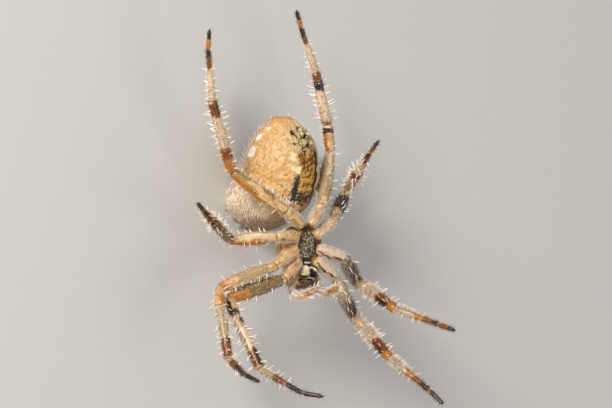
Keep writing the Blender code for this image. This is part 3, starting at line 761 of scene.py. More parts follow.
def horns(roots, outwards, lies, roots_map, lengths, widths, lean, curl=BEND, dusk=0.0, amber=0.0,
          sides=3, rings=2, taper=0.6):
    """Tapering horns that start at roots and lean from outwards towards lies.

    The point at share t of a horn lies at root + length * (t * way + curl * t^2 * lie), and the
    radius shrinks to nothing at the tip. No point goes through the floor. Returns points, quads,
    triangles, the baking map and the two masks, which dusk and amber give for each horn."""
    count, each = len(roots), rings * sides + 1
    lean = np.broadcast_to(lean, count)[:, None]
    way = unit(outwards * np.cos(lean) + lies * np.sin(lean))
    across = unit(np.cross(way, lies + 0.01 * outwards))
    over = np.cross(way, across)
    shares = np.append(np.arange(rings) / rings, 1.0)
    line = roots[:, None] + lengths[:, None, None] * (
        shares[:, None] * way[:, None] + curl * (shares**2)[:, None] * lies[:, None])
    angle = 2 * math.pi * np.arange(sides) / sides
    round_it = across[:, None] * np.cos(angle)[:, None] + over[:, None] * np.sin(angle)[:, None]
    thick = widths[:, None] / 2 * (1 - shares[:-1]) ** taper
    rims = line[:, :-1, None] + round_it[:, None] * thick[:, :, None, None]
    points = np.concatenate([rims.reshape(count, -1, 3), line[:, -1:]], 1).reshape(-1, 3)
    points[:, 2] = np.maximum(points[:, 2], FLOOR + HAIR_LIFT)
    quads, _ = ring_faces(rings, sides)
    top, here = (rings - 1) * sides, np.arange(sides)
    tips = np.stack([top + here, top + (here + 1) % sides, np.full(sides, each - 1)], -1)
    base = np.stack([np.zeros(sides - 2, int), np.arange(2, sides), np.arange(1, sides - 1)], -1)
    shift = (np.arange(count) * each)[:, None, None]
    quads = (quads[None] + shift).reshape(-1, 4)
    triangles = (np.concatenate([tips, base])[None] + shift).reshape(-1, 3)
    corner = np.arange(each)
    patch = np.stack([corner % sides / sides, corner // sides / (rings + 1)], -1) * BAKE_PATCH
    bake_map = (roots_map[:, None] * (1 - BAKE_PATCH) + patch).reshape(-1, 2)
    masks = (np.repeat(np.broadcast_to(mask, count), each) for mask in (dusk, amber))
    return points, quads, triangles, bake_map, *masks


def add_horns(name, sets, material):
    """Joins sets of horns into one piece: the faces of each set are renumbered to follow on."""
    points, quads, triangles, bake_maps, dusk, amber = zip(*sets)
    starts = np.cumsum([0] + [len(some) for some in points])
    faces = [np.vstack([some + start for some, start in zip(kind, starts)])
             for kind in (quads, triangles)]
    add_piece(name, np.vstack(points), faces, material, bake_map=np.vstack(bake_maps),
              masks={"amber": np.concatenate(amber), "dusk": np.concatenate(dusk)})


# Clear, nearly white horn: thin, so light shines through it, and glossy enough to catch a lamp.
bristle_horn = cuticle(
    "bristle_pale_horn",
    ground="0.3 E8D7C0, 0.7 FFF5EA", grain=0.5,
    layers="amber D08A3C 0.3, dusk 4A2C18 0.3",
    relief=0, glow=(0.2, (1.0, 0.8, 0.6), 0.05), Roughness=0.4)

# %% [markdown]
# ## Hair on the legs
# Stout pale spines stand well off the leg in rows, longest on the tibia, and finer hair leans
# towards the tip. Hair is thickest on the patella and where tibia and metatarsus begin. Hairs
# of 0.02 mm would be too fine to show, so they are drawn about 0.03 mm thick at the root.

# %% Leg hair
SPINE_ROWS = {  # shares of the segment, angles round it from the back, lengths, width
    "femur": ((0.15, 0.3, 0.45, 0.6, 0.75, 0.9), (20, 75, 150, 215, 290), (0.4, 0.7), 0.1),
    "patella": ((0.2, 0.5, 0.8), (10, 90, 180, 270), (0.5, 0.85), 0.11),
    "tibia": ((0.08, 0.2, 0.32, 0.44, 0.56, 0.7, 0.85), (15, 80, 140, 220, 285), (0.55, 0.95),
              0.12),
    "metatarsus": ((0.06, 0.18, 0.3, 0.45, 0.6), (30, 110, 190, 280), (0.45, 0.75), 0.1),
}
THICKNESS = {"coxa": 1.4, "femur": 0.7, "patella": 1.4, "tibia": 1.3, "metatarsus": 1.5,
             "tarsus": 1.2}  # of the fine hair
BUSHY = ("1_right", "2_right")  # the front legs on the right have more hair, and longer
MORE_HAIR = 1.6
HAIRS_PER_LEG = 3500  # on a leg of USUAL_LEG millimetres
USUAL_LEG = 20
rng = np.random.default_rng(21)


def on_leg(line, places, angles):
    """Roots, outward and forward directions, and places on the baking map, of hairs on a leg at
    places along it and angles round it."""
    i = np.clip(np.searchsorted(line.along, places), 0, len(line.along) - 1)
    outwards = line.backs[i] * np.cos(angles)[:, None] + line.sides[i] * np.sin(angles)[:, None]
    roots = line.path[i] + outwards * (line.radius[i] * 0.97)[:, None]
    spread = np.stack([np.clip(places / line.reach[-1], 0, 1), angles / (2 * math.pi) % 1], -1)
    return roots, outwards, line.forward[i], spread


for leg, line in leg_lines.items():
    bushy = leg in BUSHY
    sets = []
    for segment, (shares, angles, length, width) in SPINE_ROWS.items():
        share, angle = (grid.ravel() for grid in np.meshgrid(shares, np.radians(angles)))
        keep = rng.random(len(share)) < (0.9 if bushy else 0.78)
        count = keep.sum()
        place = place_on(line.reach, segment, share[keep] + rng.uniform(-0.05, 0.05, count))
        angle = angle[keep] + rng.uniform(-0.25, 0.25, count)
        masks = band_masks(leg, place, angle, line.reach)
        lengths = rng.uniform(*length, count) * LEG_STOUTNESS[leg[0]]
        sets.append(horns(*on_leg(line, place, angle), lengths, np.full(count, width),
                          rng.uniform(0.1, 0.55, count), 0.03, 0.25 * masks["dark"],
                          0.4 * masks["amber"], sides=5, rings=4, taper=0.45))
    density = np.zeros_like(line.along)
    for k, (segment, thickness) in enumerate(THICKNESS.items()):
        share = (line.along - line.reach[k]) / (line.reach[k + 1] - line.reach[k])
        if segment in ("tibia", "metatarsus"):
            thickness = thickness * (1 + 1.6 * step_up(0.5, 0.2, share))
        density = np.where((share >= 0) & (share < 1), thickness, density)
    density *= line.radius
    count = int(HAIRS_PER_LEG * line.reach[-1] / USUAL_LEG * (MORE_HAIR if bushy else 1.0))
    place = rng.choice(line.along, count, p=density / density.sum())
    place += rng.uniform(-STEP / 2, STEP / 2, count)
    angle = rng.uniform(0, 2 * math.pi, count)
    masks = band_masks(leg, place, angle, line.reach)
    longer = np.interp(place, line.along, step_up(1.0, 1.8, density / line.radius / 1.2)) * bushy
    lengths = rng.uniform(0.14, 0.4, count) * (1 + 0.5 * longer)
    widths = rng.uniform(0.02, 0.034, count) * (1 + 0.3 * longer)
    lean = rng.uniform(0.5, 1.05, count) - 0.25 * longer
    dusk = np.maximum(masks["dark"], masks["rust"] * 0.7) * rng.uniform(0.3, 1.0, count)
    amber = np.maximum(masks["amber"], masks["rust"]) * rng.uniform(0.3, 1.0, count)
    sets.append(horns(*on_leg(line, place, angle), lengths, widths, lean, dusk=dusk, amber=amber))
    add_horns(f"leg_{leg}_hair", sets, bristle_horn)

# %% [markdown]
# ## Hair on closed shapes
# Hair on the body grows from random places on the same formulas as the skins. Two short steps
# across the surface give the direction straight out of it, and hair leans along one of them.

# %% Fur tool
POLE = 0.985  # hair grows up to here on the way to a pole
ROOT_DEPTH = 0.01


def surface_frame(place, along, turn, step=0.002):
    """Points of a surface, the directions straight out of it, and those along it."""
    points = place(along, turn)
    ahead = place(along + step, turn) - place(along - step, turn)
    round_it = place(along, turn + step) - place(along, turn - step)
    outwards = unit(np.cross(round_it, ahead))
    middle = place(np.zeros_like(along), turn + math.pi)
    inside = ((points - middle) * outwards).sum(-1) < 0
    return points, np.where(inside[:, None], -outwards, outwards), unit(ahead)


def fur(name, place, count, lengths, widths, lean, colours, seed, keep, way=1):
    """Hairs at random places of a surface place(along, turn), as one piece.

    lengths, widths and lean are pairs, from and to. colours gives the masks, and keep which
    hairs stay; both are functions of the skin's points, and colours may be plain numbers."""
    rng = np.random.default_rng(seed)
    along, turn = rng.uniform(-POLE, POLE, count), rng.uniform(0, 2 * math.pi, count)
    kept = keep(skin_at(place, along, turn))
    along, turn = along[kept], turn[kept]
    roots, outwards, ahead = surface_frame(place, along, turn)
    spread = np.stack([(along + 1) / 2, turn / (2 * math.pi)], -1)
    lengths, widths, lean = (rng.uniform(*pair, len(along)) for pair in (lengths, widths, lean))
    masks = colours(skin_at(place, along, turn)) if callable(colours) else colours
    hairs = horns(roots - outwards * ROOT_DEPTH, outwards, ahead * way, spread, lengths, widths,
                  lean, **masks)
    add_horns(name, [hairs], bristle_horn)

# %% [markdown]
# ## Hair on the abdomen
# Pale bristles stand off the shoulders and the rear of the abdomen, and a fine down lies along
# the skin everywhere else. Both take the colour of the marking that they grow from.

# %% Abdomen hair
def abdomen_hair_colours(skin):
    """The paints of the skin under each hair, boiled down to the hair's own two colours."""
    masks = abdomen_masks(skin)
    amber = 0.5 * masks["orange"] + 0.7 * masks["gold"] + 0.4 * masks["tan"]
    dusk = masks["black"] + 0.7 * masks["leaf"] + masks["umber"]
    return {"amber": np.clip(amber, 0, 1), "dusk": np.clip(dusk, 0, 1)}


def off_the_waist(skin):
    """True where a hair has room: off the floor, and away from the waist."""
    return (skin.z > FLOOR + 0.12) & (skin.along > -0.9)


def shoulders_and_rear(skin):
    """True off the belly, and towards the rear only where random hills are high."""
    ragged = 4.5 + 5.0 * hills(skin.points, 0.25, 23)
    return off_the_waist(skin) & (skin.up < 0.45) & (skin.y < ragged)


fur("abdomen_down", abdomen_place, 14000, (0.12, 0.26), (0.018, 0.026), (1.2, 1.45),
    abdomen_hair_colours, 31, off_the_waist)
fur("abdomen_bristles", abdomen_place, 2200, (0.36, 0.75), (0.045, 0.065),
    (0.3, 0.95), lambda skin: {"amber": step_up(7.0, 9.0, skin.y) * 0.35}, 32, shoulders_and_rear)

# %% [markdown]
# ## Spinnerets
# Four jointed cones, a smaller pair between them and a lobe behind them stand round the vent,
# folded together so that they look like a rosette. Each cone is a tube whose radius steps in at
# its joint. Their soft cuticle is grey-green with a dark ring at each joint; the dark creases where
# the cones meet and where the small lobes leave the belly are painted shade.

# %% Spinnerets
def belly_point(x, y):
    """The place on the smooth belly over x and y, and the direction straight out of it."""
    turn = np.linspace(0, math.pi / 2, 2001)
    along = np.full_like(turn, (y - ABDOMEN_MIDDLE) / ABDOMEN_HALF)
    nearest = np.abs(smooth_abdomen(along, turn)[:, 0] - abs(x)).argmin()
    points, outwards, _ = surface_frame(smooth_abdomen, along[nearest:][:1], turn[nearest:][:1])
    side = np.array([math.copysign(1, x), 1, 1])
    return points[0] * side, outwards[0] * side


def straight_line(start, end, profile, steps=40):
    """A straight tube's line from start to end, with (share, radius) pairs for its profile."""
    shares = np.linspace(0, 1, steps)
    path = start + shares[:, None] * (end - start)
    length = float(np.linalg.norm(end - start))
    return Line(shares * length, path, np.array([0, length]),
                *crossing_frame(path, (0.01, -1.0, 0.0)), np.interp(shares, *zip(*profile)))


soft_cone = cuticle(
    "spinneret_soft_ringed_cuticle",
    ground="0.35 7E7050, 0.5 B3A074, 0.66 D9C798", grain=0.2,
    layers="black 1B140E 0.5", glow=(0.12, (1.0, 0.7, 0.4), 0.2), Roughness=0.45)
CONE = ((0, 0.27), (0.45, 0.265), (0.56, 0.2), (0.62, 0.22), (0.88, 0.17), (1, 0.09))
LOBE = ((0, 1.0), (0.5, 0.9), (0.85, 0.5), (1, 0.15))  # radius as a share of its size
MIDLINE = 1e-6  # an x that counts as the right side
for place, y in (("front", 6.95), ("rear", 7.65)):
    for side, sign in SIDES:
        root, outwards = belly_point(sign * 0.36, y)
        tip = root + outwards * 0.57 - np.array([sign * 0.08, 0, 0])
        add_tube(f"spinneret_{place}_{side}_skin", straight_line(root - outwards * 0.1, tip, CONE),
                 36, soft_cone, [f"spinneret_{place}_{side}"],
                 # black near the midline is painted shade where the cones meet; the ring at 0.37 mm
                 # is the joint
                 lambda points, lie: {"black": 0.9 * step_up(0.2, 0.08, np.abs(points[:, 0]))
                                      + 0.8 * bell(lie[:, 0], 0.37, 0.04)})
for name, x, y, size in (("median_left", -0.11, 7.32, 0.14), ("median_right", 0.11, 7.32, 0.14),
                         ("anal_lobe", MIDLINE, 8.12, 0.26)):
    root, outwards = belly_point(x, y)
    line = straight_line(root - outwards * 0.15, root + outwards * size * 0.9,
                         [(share, size * radius) for share, radius in LOBE])
    add_tube(f"{name}_skin", line, 28, soft_cone,
             # the dark ring at the root is painted shade where the lobe leaves the belly
             paint=lambda points, lie: {"black": 0.5 * bell(lie[:, 0], 0.16, 0.05)})

# %% [markdown]
# ## The waist and the plate over the genital opening
# A thin stalk joins the two halves of the body. On the belly, just behind it, a female has a
# small dark plate of hard horn, from which a short wrinkled tongue points to the rear. Hard horn
# is smooth and has a clear outer layer, which gives it a sharper gloss than the skin round it.

# %% Waist and epigyne
dark_horn = cuticle(
    "hard_brown_horn",
    ground="0.35 4A2A14, 0.5 7A4A22, 0.68 A9743A", grain=0.18,
    layers="black 150D08 0.4", relief=0.012, coat=(0.4, 0.15), Roughness=0.3)
STALK = (np.array([0.0, 0.36, -1.4]), np.array([0.0, 1.1, -1.6]))
STALK_RADIUS = ((0, 0.26), (0.5, 0.2), (1, 0.27))
add_tube("pedicel_skin", straight_line(*STALK, STALK_RADIUS), 32, dark_horn,
         ["pedicel"])
SCAPE_ROOT, SCAPE_OUT = belly_point(MIDLINE, 2.1)
SCAPE = Sizes(half_x=0.3, half_y=0.29, rise=0.12, half_height=0.16, groove=0.05)


def scape_place(along, turn):
    """A low dome with a groove round its middle, drawn out to the rear."""
    ring = dome(along)
    groove = SCAPE.groove * bell(ring, 0.55, 0.12) * step_up(0, 0.4, along)
    out = SCAPE.rise + SCAPE.half_height * along - groove
    sideways = ring * np.cos(turn) * SCAPE.half_x
    rearwards = ring * np.sin(turn) * SCAPE.half_y
    rear = np.cross(SCAPE_OUT, [1.0, 0, 0])
    return (SCAPE_ROOT + sideways[:, None] * np.array([1.0, 0, 0]) + rearwards[:, None] * rear
            + out[:, None] * SCAPE_OUT)


add_shell("epigyne_skin", scape_place, (40, 48), dark_horn, ["epigyne"],
          lambda skin: {"black": 0.9 * bell(skin.along, 0.5, 0.25)})

# %% [markdown]
# ## Carapace
# The carapace is one hard shield over the back of the front body, like a low dome. Dents in it
# show where muscles are fixed inside: a pit in its middle, grooves that mark off the head, and
# furrows that run out to the legs. It is brown, darker along the sides, with pale hair. Its horn
# is thicker than a leg's and lets no light in, so only a thin clear coat gives it a soft gloss.

# %% Carapace surface
CARAPACE = Sizes(rear=0.35, front=-4.9, width=4.6, height=1.65, rim_z=-0.95, clypeus_z=-1.55,
                 head=1.2, widest=-1.75)
CARAPACE_MIDDLE = (CARAPACE.rear + CARAPACE.front) / 2
CARAPACE_HALF = CARAPACE.rear - CARAPACE_MIDDLE
PIT_Y = -1.6  # the furrows run out from here


def carapace_half_width(y):
    """Half its width: a broad oval that narrows to the head in front."""
    widest = CARAPACE.widest
    half = np.where(y > widest, CARAPACE.rear - widest, widest - CARAPACE.front)
    oval, blunt = (dome((y - widest) / half, power) for power in (2, 10))
    head = step_up(2.4, 3.7, -y)
    return (1 - head) * CARAPACE.width / 2 * oval + head * CARAPACE.head * blunt


def carapace_rim(y):
    """Height of its lower rim, which lifts over the jaws."""
    return CARAPACE.rim_z + (CARAPACE.clypeus_z - CARAPACE.rim_z) * step_up(3.45, 3.85, -y)


def carapace_height(y):
    """Height of the dome over its rim, rounded off at both ends."""
    along = (y - CARAPACE_MIDDLE) / CARAPACE_HALF
    full = carapace_rim(y) - CARAPACE.rim_z + CARAPACE.height
    return full * dome(along, np.where(along > 0, 2.5, 8))


def carapace_dents(x, y):
    """Depth of the pit, of the head's grooves and of the furrows that run out from the pit."""
    pit = 0.16 * spot(x, y, 0, -1.5, 0.1, 0.32)
    groove = 0.09 * bell(np.abs(x), 0.15 + 0.62 * (-y - 1.9), 0.13) * span(-y, 1.8, 2.2, 3.4, 4.0)
    angle, away = np.arctan2(x, y - PIT_Y), np.hypot(x, y - PIT_Y)
    furrows = 0.05 * (0.5 + 0.5 * np.cos(angle * 8)) * bell(away, 1.0, 0.55) * step_up(2.6, 2.1, -y)
    return pit + groove + furrows


def carapace_place(along, turn):
    """A dome over a flat rim; turn -90 degrees faces the back. Dents push its surface in."""
    y = CARAPACE_MIDDLE + CARAPACE_HALF * along * 0.995
    side, up = np.cos(turn), np.sin(turn)
    x = carapace_half_width(y) * side * 0.99
    hump = np.minimum(up, 0) * carapace_height(y) * 0.985
    dents = carapace_dents(x, y) - 0.012 * hills(np.stack([x, y, 0 * x], -1), 0.4, 41)
    return np.stack([x, y, carapace_rim(y) + hump - 0.02 + dents * step_up(0.1, 0.5, -up)], -1)


# %% Carapace skin
def carapace_masks(skin):
    """Dark stripes at 0.72 of the half width and over the pit, and tan on the face, rim and lower
    side. The tan of the rim is partly its pale hair and partly painted light, and the tan over the
    whole lower side is painted light on skin that lies in shade between the coxae.
    """
    x, y, half_width = skin.x, skin.y, carapace_half_width(skin.y)
    rim = step_up(0.72, 0.92, np.abs(x) / (half_width + 0.01))
    # The whole lower side is painted tan: painted light.
    rim = np.maximum(rim, step_up(-0.1, 0.2, skin.up))
    stripes = bell(np.abs(x), 0.72 * half_width, 0.25) + 0.8 * spot(x, y, 0, -1.7, 0.3, 1.0)
    return {"dusk": np.clip(stripes, 0, 1), "tan": 0.8 * spot(x, y, 0, -4.2, 0.7, 0.6) + 0.9 * rim}


shield_horn = cuticle(
    "carapace_brown_horn",
    ground="0.32 6E4A28, 0.5 9A6E3E, 0.68 C39A62", grain=0.35,
    # tan is the face's and rim's own colour, and painted light on the lower side
    layers="dusk 3A2414 0.8, tan C9A26C 0.7", relief=0.012, coat=(0.25, 0.25), Roughness=0.38)
add_shell("carapace_skin", carapace_place, (160, 160), shield_horn, ["carapace"],
          carapace_masks)
fur("carapace_hair", carapace_place, 4200, (0.14, 0.34), (0.02, 0.034), (0.8, 1.3),
    {"amber": 0.2}, 42, lambda skin: (skin.up < -0.12) & (skin.z > FLOOR + 0.1), way=-1)

# %% [markdown]
# ## The flesh between the legs
# Soft folded skin joins the coxae to the edge of the shield and to the breast plate. It fills
# the gaps between the legs, so it is one low cushion that lies under the coxae and bulges
# between them. It is tan, orange in its folds, and it lets light in more than horn does. Painted
# shade darkens it: black in the crease along the breast plate's right edge, and umber under the
# right legs and at the waist. The crease follows the plate's outline, so that is worked out first.

# %% Breast plate outline
STERNUM = Sizes(rear=STERNUM_REAR, front=-2.6, half_width=0.98, top=STERNUM_TOP, base=-0.82)
STERNUM_MIDDLE = (STERNUM.rear + STERNUM.front) / 2
STERNUM_HALF = (STERNUM.rear - STERNUM.front) / 2


def sternum_half_width(y):
    """Half the breast plate's width: an oval, widest in its front half, narrow at the waist."""
    along = (y - STERNUM_MIDDLE) / STERNUM_HALF
    return STERNUM.half_width * (dome(along) ** 0.8 * (1 - 0.26 * step_up(-0.3, 1.0, along)))


# %% Joint skin
CUSHION = Sizes(middle_y=-1.75, half_y=2.0, half_x=2.5, most_x=2.2, axis_z=-1.0, belly=0.82,
                back=0.4, ripple=0.06)


def cushion_place(along, turn):
    """A low cushion, wide at the legs, with a ripple between neighbouring coxae."""
    y = CUSHION.middle_y + CUSHION.half_y * along
    side, up, outline = np.cos(turn), np.sin(turn), dome(along, 4)
    half_x = np.minimum(CUSHION.most_x, CUSHION.half_x - 0.2 * along)
    x = half_x * outline * (1 - 0.1 * along) * side
    ripple = CUSHION.ripple * np.cos(y * 5.9 + 0.6) * np.abs(side)
    height = np.where(up > 0, CUSHION.belly + ripple, CUSHION.back)
    rise = height * outline * np.sign(up) * np.abs(up) ** 0.55
    bumps = 0.015 * hills(np.stack([x, y, rise], -1), 0.35, 43)
    return np.stack([x, y, CUSHION.axis_z + rise + bumps], -1)


def cushion_masks(skin):
    """Painted shade: umber under the right legs and at the waist, and black in the crease along
    the plate's right edge. Black also lies before the plate.
    """
    x, y = skin.x, skin.y
    # The black along the plate's right edge is painted shade in the crease.
    edge = 0.9 * step_up(0.26, 0.14, x - sternum_half_width(y)) * (x > 0.3)
    waist = bell(y, STERNUM_REAR + 0.1, 0.3)
    return {"umber": np.clip(0.9 * step_up(0.8, 1.15, x) + waist, 0, 1),
            "black": np.maximum(spot(x, y, 0, -2.85, 0.7, 0.6), edge)}


joint_skin = cuticle(
    "joint_soft_folded_skin",
    ground="0.32 A06D34, 0.5 CA945A, 0.68 E4BC88", grain=0.4,
    # umber here is painted shade, and so is the black at the plate's edge
    layers="umber 5E3A20 0.9, black 16100C 0.8",
    relief=0.03, glow=(0.2, (1.0, 0.5, 0.3), 0.3), Roughness=0.35)
add_shell("joint_skin", cushion_place, (110, 120), joint_skin,
          paint=cushion_masks)

# %% [markdown]
# ## Breast plate and mouth parts
# The breast plate is a hard black shield with yellow flecks. In front of it lie the lip and a
# pair of jaw plates with cream edges, and in front of those the two stout jaws. Each is a
# rounded solid with colours by place: dark at the root, pale at the free edge. On the left jaw
# plate a pale lilac band near the rear end is a painted highlight, and the black over most of the
# right plate is painted shade. The black horn has a clear coat and catches the light; the jaw
# plates are softer and nearly matt.

# %% Breast plate
def sternum_place(along, turn):
    """A shield with flattened faces that thins to both ends, and a slightly raised rim."""
    y = STERNUM_MIDDLE + STERNUM_HALF * along
    side, up = np.cos(turn), np.sin(turn)
    middle = (STERNUM.top + STERNUM.base) / 2
    thick = (STERNUM.top - middle) * np.minimum(1.0, 2.2 * (1 - np.abs(along))) ** 0.5
    x = sternum_half_width(y) * side
    z = middle + thick * np.sign(up) * np.abs(up) ** 0.7
    uneven = 0.01 * hills(np.stack([x, y, z], -1), 0.3, 44)
    dent = 0.02 + 0.03 * bell(np.abs(side), 0.55, 0.2) + uneven
    return np.stack([x * 0.99, y, z - dent * step_up(0.2, 0.6, up)], -1)


def sternum_masks(skin):
    """Flecks where fine hills are low, off the rim, and a cream bar at the front edge."""
    flecks = (0.22 - 0.38 * hills(skin.points, 0.115, 45)) * step_up(0.35, 0.8, skin.up)
    return {"fleck": flecks * step_up(1.0, 0.7, np.abs(skin.along)),
            "cream": 0.8 * bell(skin.along, -0.84, 0.09) * step_up(0.4, 0.8, skin.up)}


plate_horn = cuticle(
    "breast_plate_black_horn",
    ground="0.4 0E0A0B, 0.6 2B1F16", grain=0.3,
    layers="fleck DCC96C 1.5, cream CFC49C 0.9", relief=0.02, coat=(0.25, 0.2), Roughness=0.36)
add_shell("sternum_skin", sternum_place, (90, 120), plate_horn, ["sternum"],
          sternum_masks)
fur("sternum_hair", sternum_place, 420, (0.12, 0.3), (0.018, 0.028), (0.6, 1.2),
    {"amber": 0.1}, 46, lambda skin: skin.up > 0.5, way=-1)


# %% Egg tool
def egg_place(centre, half_axes, lean=(0.0, 0.0), wobble=0.0, blunt=0.85, inset=0.97):
    """An egg that stands along Z, its two ends leaning opposite ways, with soft bumps. It lies a
    little inside its half axes, and a lower power of blunt makes its ends squarer."""

    def place(along, turn):
        """The egg's point at each along and turn."""
        ring = dome(along) ** blunt * inset
        x = centre[0] + half_axes[0] * ring * np.cos(turn) + lean[0] * along
        y = centre[1] + half_axes[1] * ring * np.sin(turn) + lean[1] * along
        points = np.stack([x, y, centre[2] + half_axes[2] * along * 0.98], -1)
        bumps = wobble * hills(points, 0.35, 47)
        return points + unit(points - np.array(centre)) * bumps[:, None]

    return place


# %% Colours and horn of the mouth parts
def lip_masks(skin):
    """Cream along the free edge, which faces the jaws."""
    return {"cream": step_up(0.0, 0.6, skin.along) * step_up(0.3, -0.3, skin.up),
            "fleck": np.full(len(skin.points), 0.1)}


def jaw_masks(skin):
    """Black at the fang's end and across the middle of the front, tan at the root."""
    middle = 0.5 * bell(skin.along, -0.1, 0.2) * (skin.up < -0.2)
    return {"black": 0.75 * step_up(0.45, 0.85, skin.along) + middle,
            "tan": step_up(-0.2, -0.8, skin.along)}


# Cream horn with a fine grain, nearly matt, on the jaw plates. Its lilac layer is a painted
# highlight, and its black is partly the plates' dark roots and partly painted shade.
lip_horn = cuticle(
    "jaw_plate_cream_horn",
    ground="0.35 9C8B60, 0.5 C4B488, 0.66 D8CCA4", grain=0.3,
    layers="amber A8642A 0.7, pearl CFC5CE 0.9, black 150F0C 0.9", relief=0.03, Roughness=0.55)
# Thick brown horn under dense hair, which takes nearly all the gloss off the jaws.
jaw_horn = cuticle(
    "jaw_amber_horn",
    ground="0.32 3A220F, 0.5 6B421B, 0.68 936226", grain=0.3,
    layers="black 1A0F0A 1, tan B98A55 0.7", relief=0.02, Roughness=0.6, Specular_IOR_Level=0.3)
# The hardest and darkest horn, smooth all over: fangs and claws look nearly black and satin.
claw_horn = cuticle(
    "fang_dark_red_horn",
    ground="0.3 2A0D07, 0.7 4A1A0C", grain=0.3, relief=0, Roughness=0.38)

# %% Lip, jaw plates, jaws and fangs
FANG_PATH = ((0.6, -4.72, 0.56), (0.5, -4.6, 0.72), (0.3, -4.45, 0.8), (0.12, -4.3, 0.8))
FANG_RADIUS = ((0, 0.09), (0.3, 0.1), (0.6, 0.075), (0.9, 0.035), (1, 0.012))
add_shell("labium_skin", egg_place((0.0, -2.83, -0.2), (0.4, 0.2, 0.34), wobble=0.01), (50, 60),
          plate_horn, ["labium"], lip_masks)
for side, sign in SIDES:
    def plate_masks(skin):
        """Black at both ends and, on the right, beside a slanting cream stripe, where it is painted
        shade. On the left a pale lilac band near the rear end is a painted highlight.
        """
        y, cream = skin.y, step_up(0.99, 0.9, -sign * skin.side)
        if side == "right":
            # Off this stripe the right plate is painted black as shade.
            cream = bell(y + 3.35, -1.3 * (skin.x - 0.25), 0.17)
        black = step_up(-3.12, -3.06, y) + step_up(-3.9, -4.0, y) + 1 - cream
        # The pale lilac band near the rear end of the left plate is a painted highlight.
        return {"pearl": 0.8 * step_up(-3.36, -3.2, y) * (side == "left"),
                "black": np.clip(black, 0, 1), "amber": step_up(-0.1, -0.7, skin.along)}

    plate_place = egg_place((sign * 0.46, -3.6, 0.1), (0.38, 0.52, 0.55), wobble=0.012)
    add_shell(f"maxilla_{side}_skin", plate_place, (70, 80), lip_horn,
              [f"maxilla_{side}"], plate_masks)
    fur(f"maxilla_{side}_hair", plate_place, 420, (0.12, 0.3), (0.018, 0.03),
        (0.2, 0.9), {"amber": 0.3, "dusk": 0.7}, 48,
        lambda skin: (-sign * skin.side > -0.1) & (skin.y < -3.6))
    jaw_place = egg_place((sign * 0.53, -4.62, -0.52), (0.48, 0.44, 0.98), (0.0, -0.1), 0.015)
    add_shell(f"chelicera_{side}_skin", jaw_place, (90, 90), jaw_horn,
              [f"chelicera_{side}"], jaw_masks)
    fur(f"chelicera_{side}_hair", jaw_place, 900, (0.18, 0.42), (0.02, 0.034),
        (0.5, 1.0), {"amber": 0.5, "dusk": 0.5}, 49,
        lambda skin: (skin.up < 0.2) | (skin.along > 0.6))
    fang = rounded_line(np.array(FANG_PATH) * (sign, 1, 1), lambda along, reach: np.interp(
        along / reach[-1], *zip(*FANG_RADIUS)), corner=0.1, step=0.02)
    add_tube(f"fang_{side}_skin", fang, 24, claw_horn, [f"fang_{side}"])

# %% [markdown]
# ## Eyes
# An orb weaver has eight simple eyes: four in a square on the front of the head and a pair at
# each side. Each is a smooth clear lens over a dark cup, so it is one glossy ball, half sunk in
# its socket, and it stays a piece of its own. Halving the range finds where the face stands.

# %% Eyes
EYES = {  # x for the right eye of each pair, height over the clypeus rim, radius
    "front_median": (0.19, 0.42, 0.115),
    "rear_median": (0.16, 0.86, 0.105),
    "front_lateral": (0.72, 0.34, 0.085),
    "rear_lateral": (0.82, 0.62, 0.085),
}
SUNK = 0.6  # how deep an eye's middle lies behind the face, as a share of its radius


def face_y(x, z):
    """The y at which the head's front stands at a given x and z."""
    rear, front = -3.9, CARAPACE.front
    for _ in range(30):
        middle = (rear + front) / 2
        inside = ((x / max(1e-6, carapace_half_width(middle))) ** 2
                  + ((carapace_rim(middle) - z) / max(1e-6, carapace_height(middle))) ** 2 < 1)
        rear, front = (middle, front) if inside else (rear, middle)
    return (rear + front) / 2


eye_glass = cuticle(
    "eye_clear_lens_over_dark_cup",
    ground="0.4 050304, 0.7 180C08", grain=0.1, relief=0, coat=(1.0, 0.02), Roughness=0.04)
for pair, (x, height, radius) in EYES.items():
    z = CARAPACE.clypeus_z - height
    y = face_y(x, z) - radius * SUNK
    for side, sign in SIDES:
        lens_place = egg_place((sign * x, y, z), (radius, radius, radius), blunt=1.0, inset=0.98)
        add_shell(f"eye_{pair}_{side}_lens", lens_place, (24, 32), eye_glass,
                  [f"eye_{pair}_{side}"])

# %% [markdown]
# ## Palps
# The palps are two short feelers beside the jaws, built like legs with one segment fewer. Here
# they fold across the face. Their end segments are bright amber with a fan of bristles.

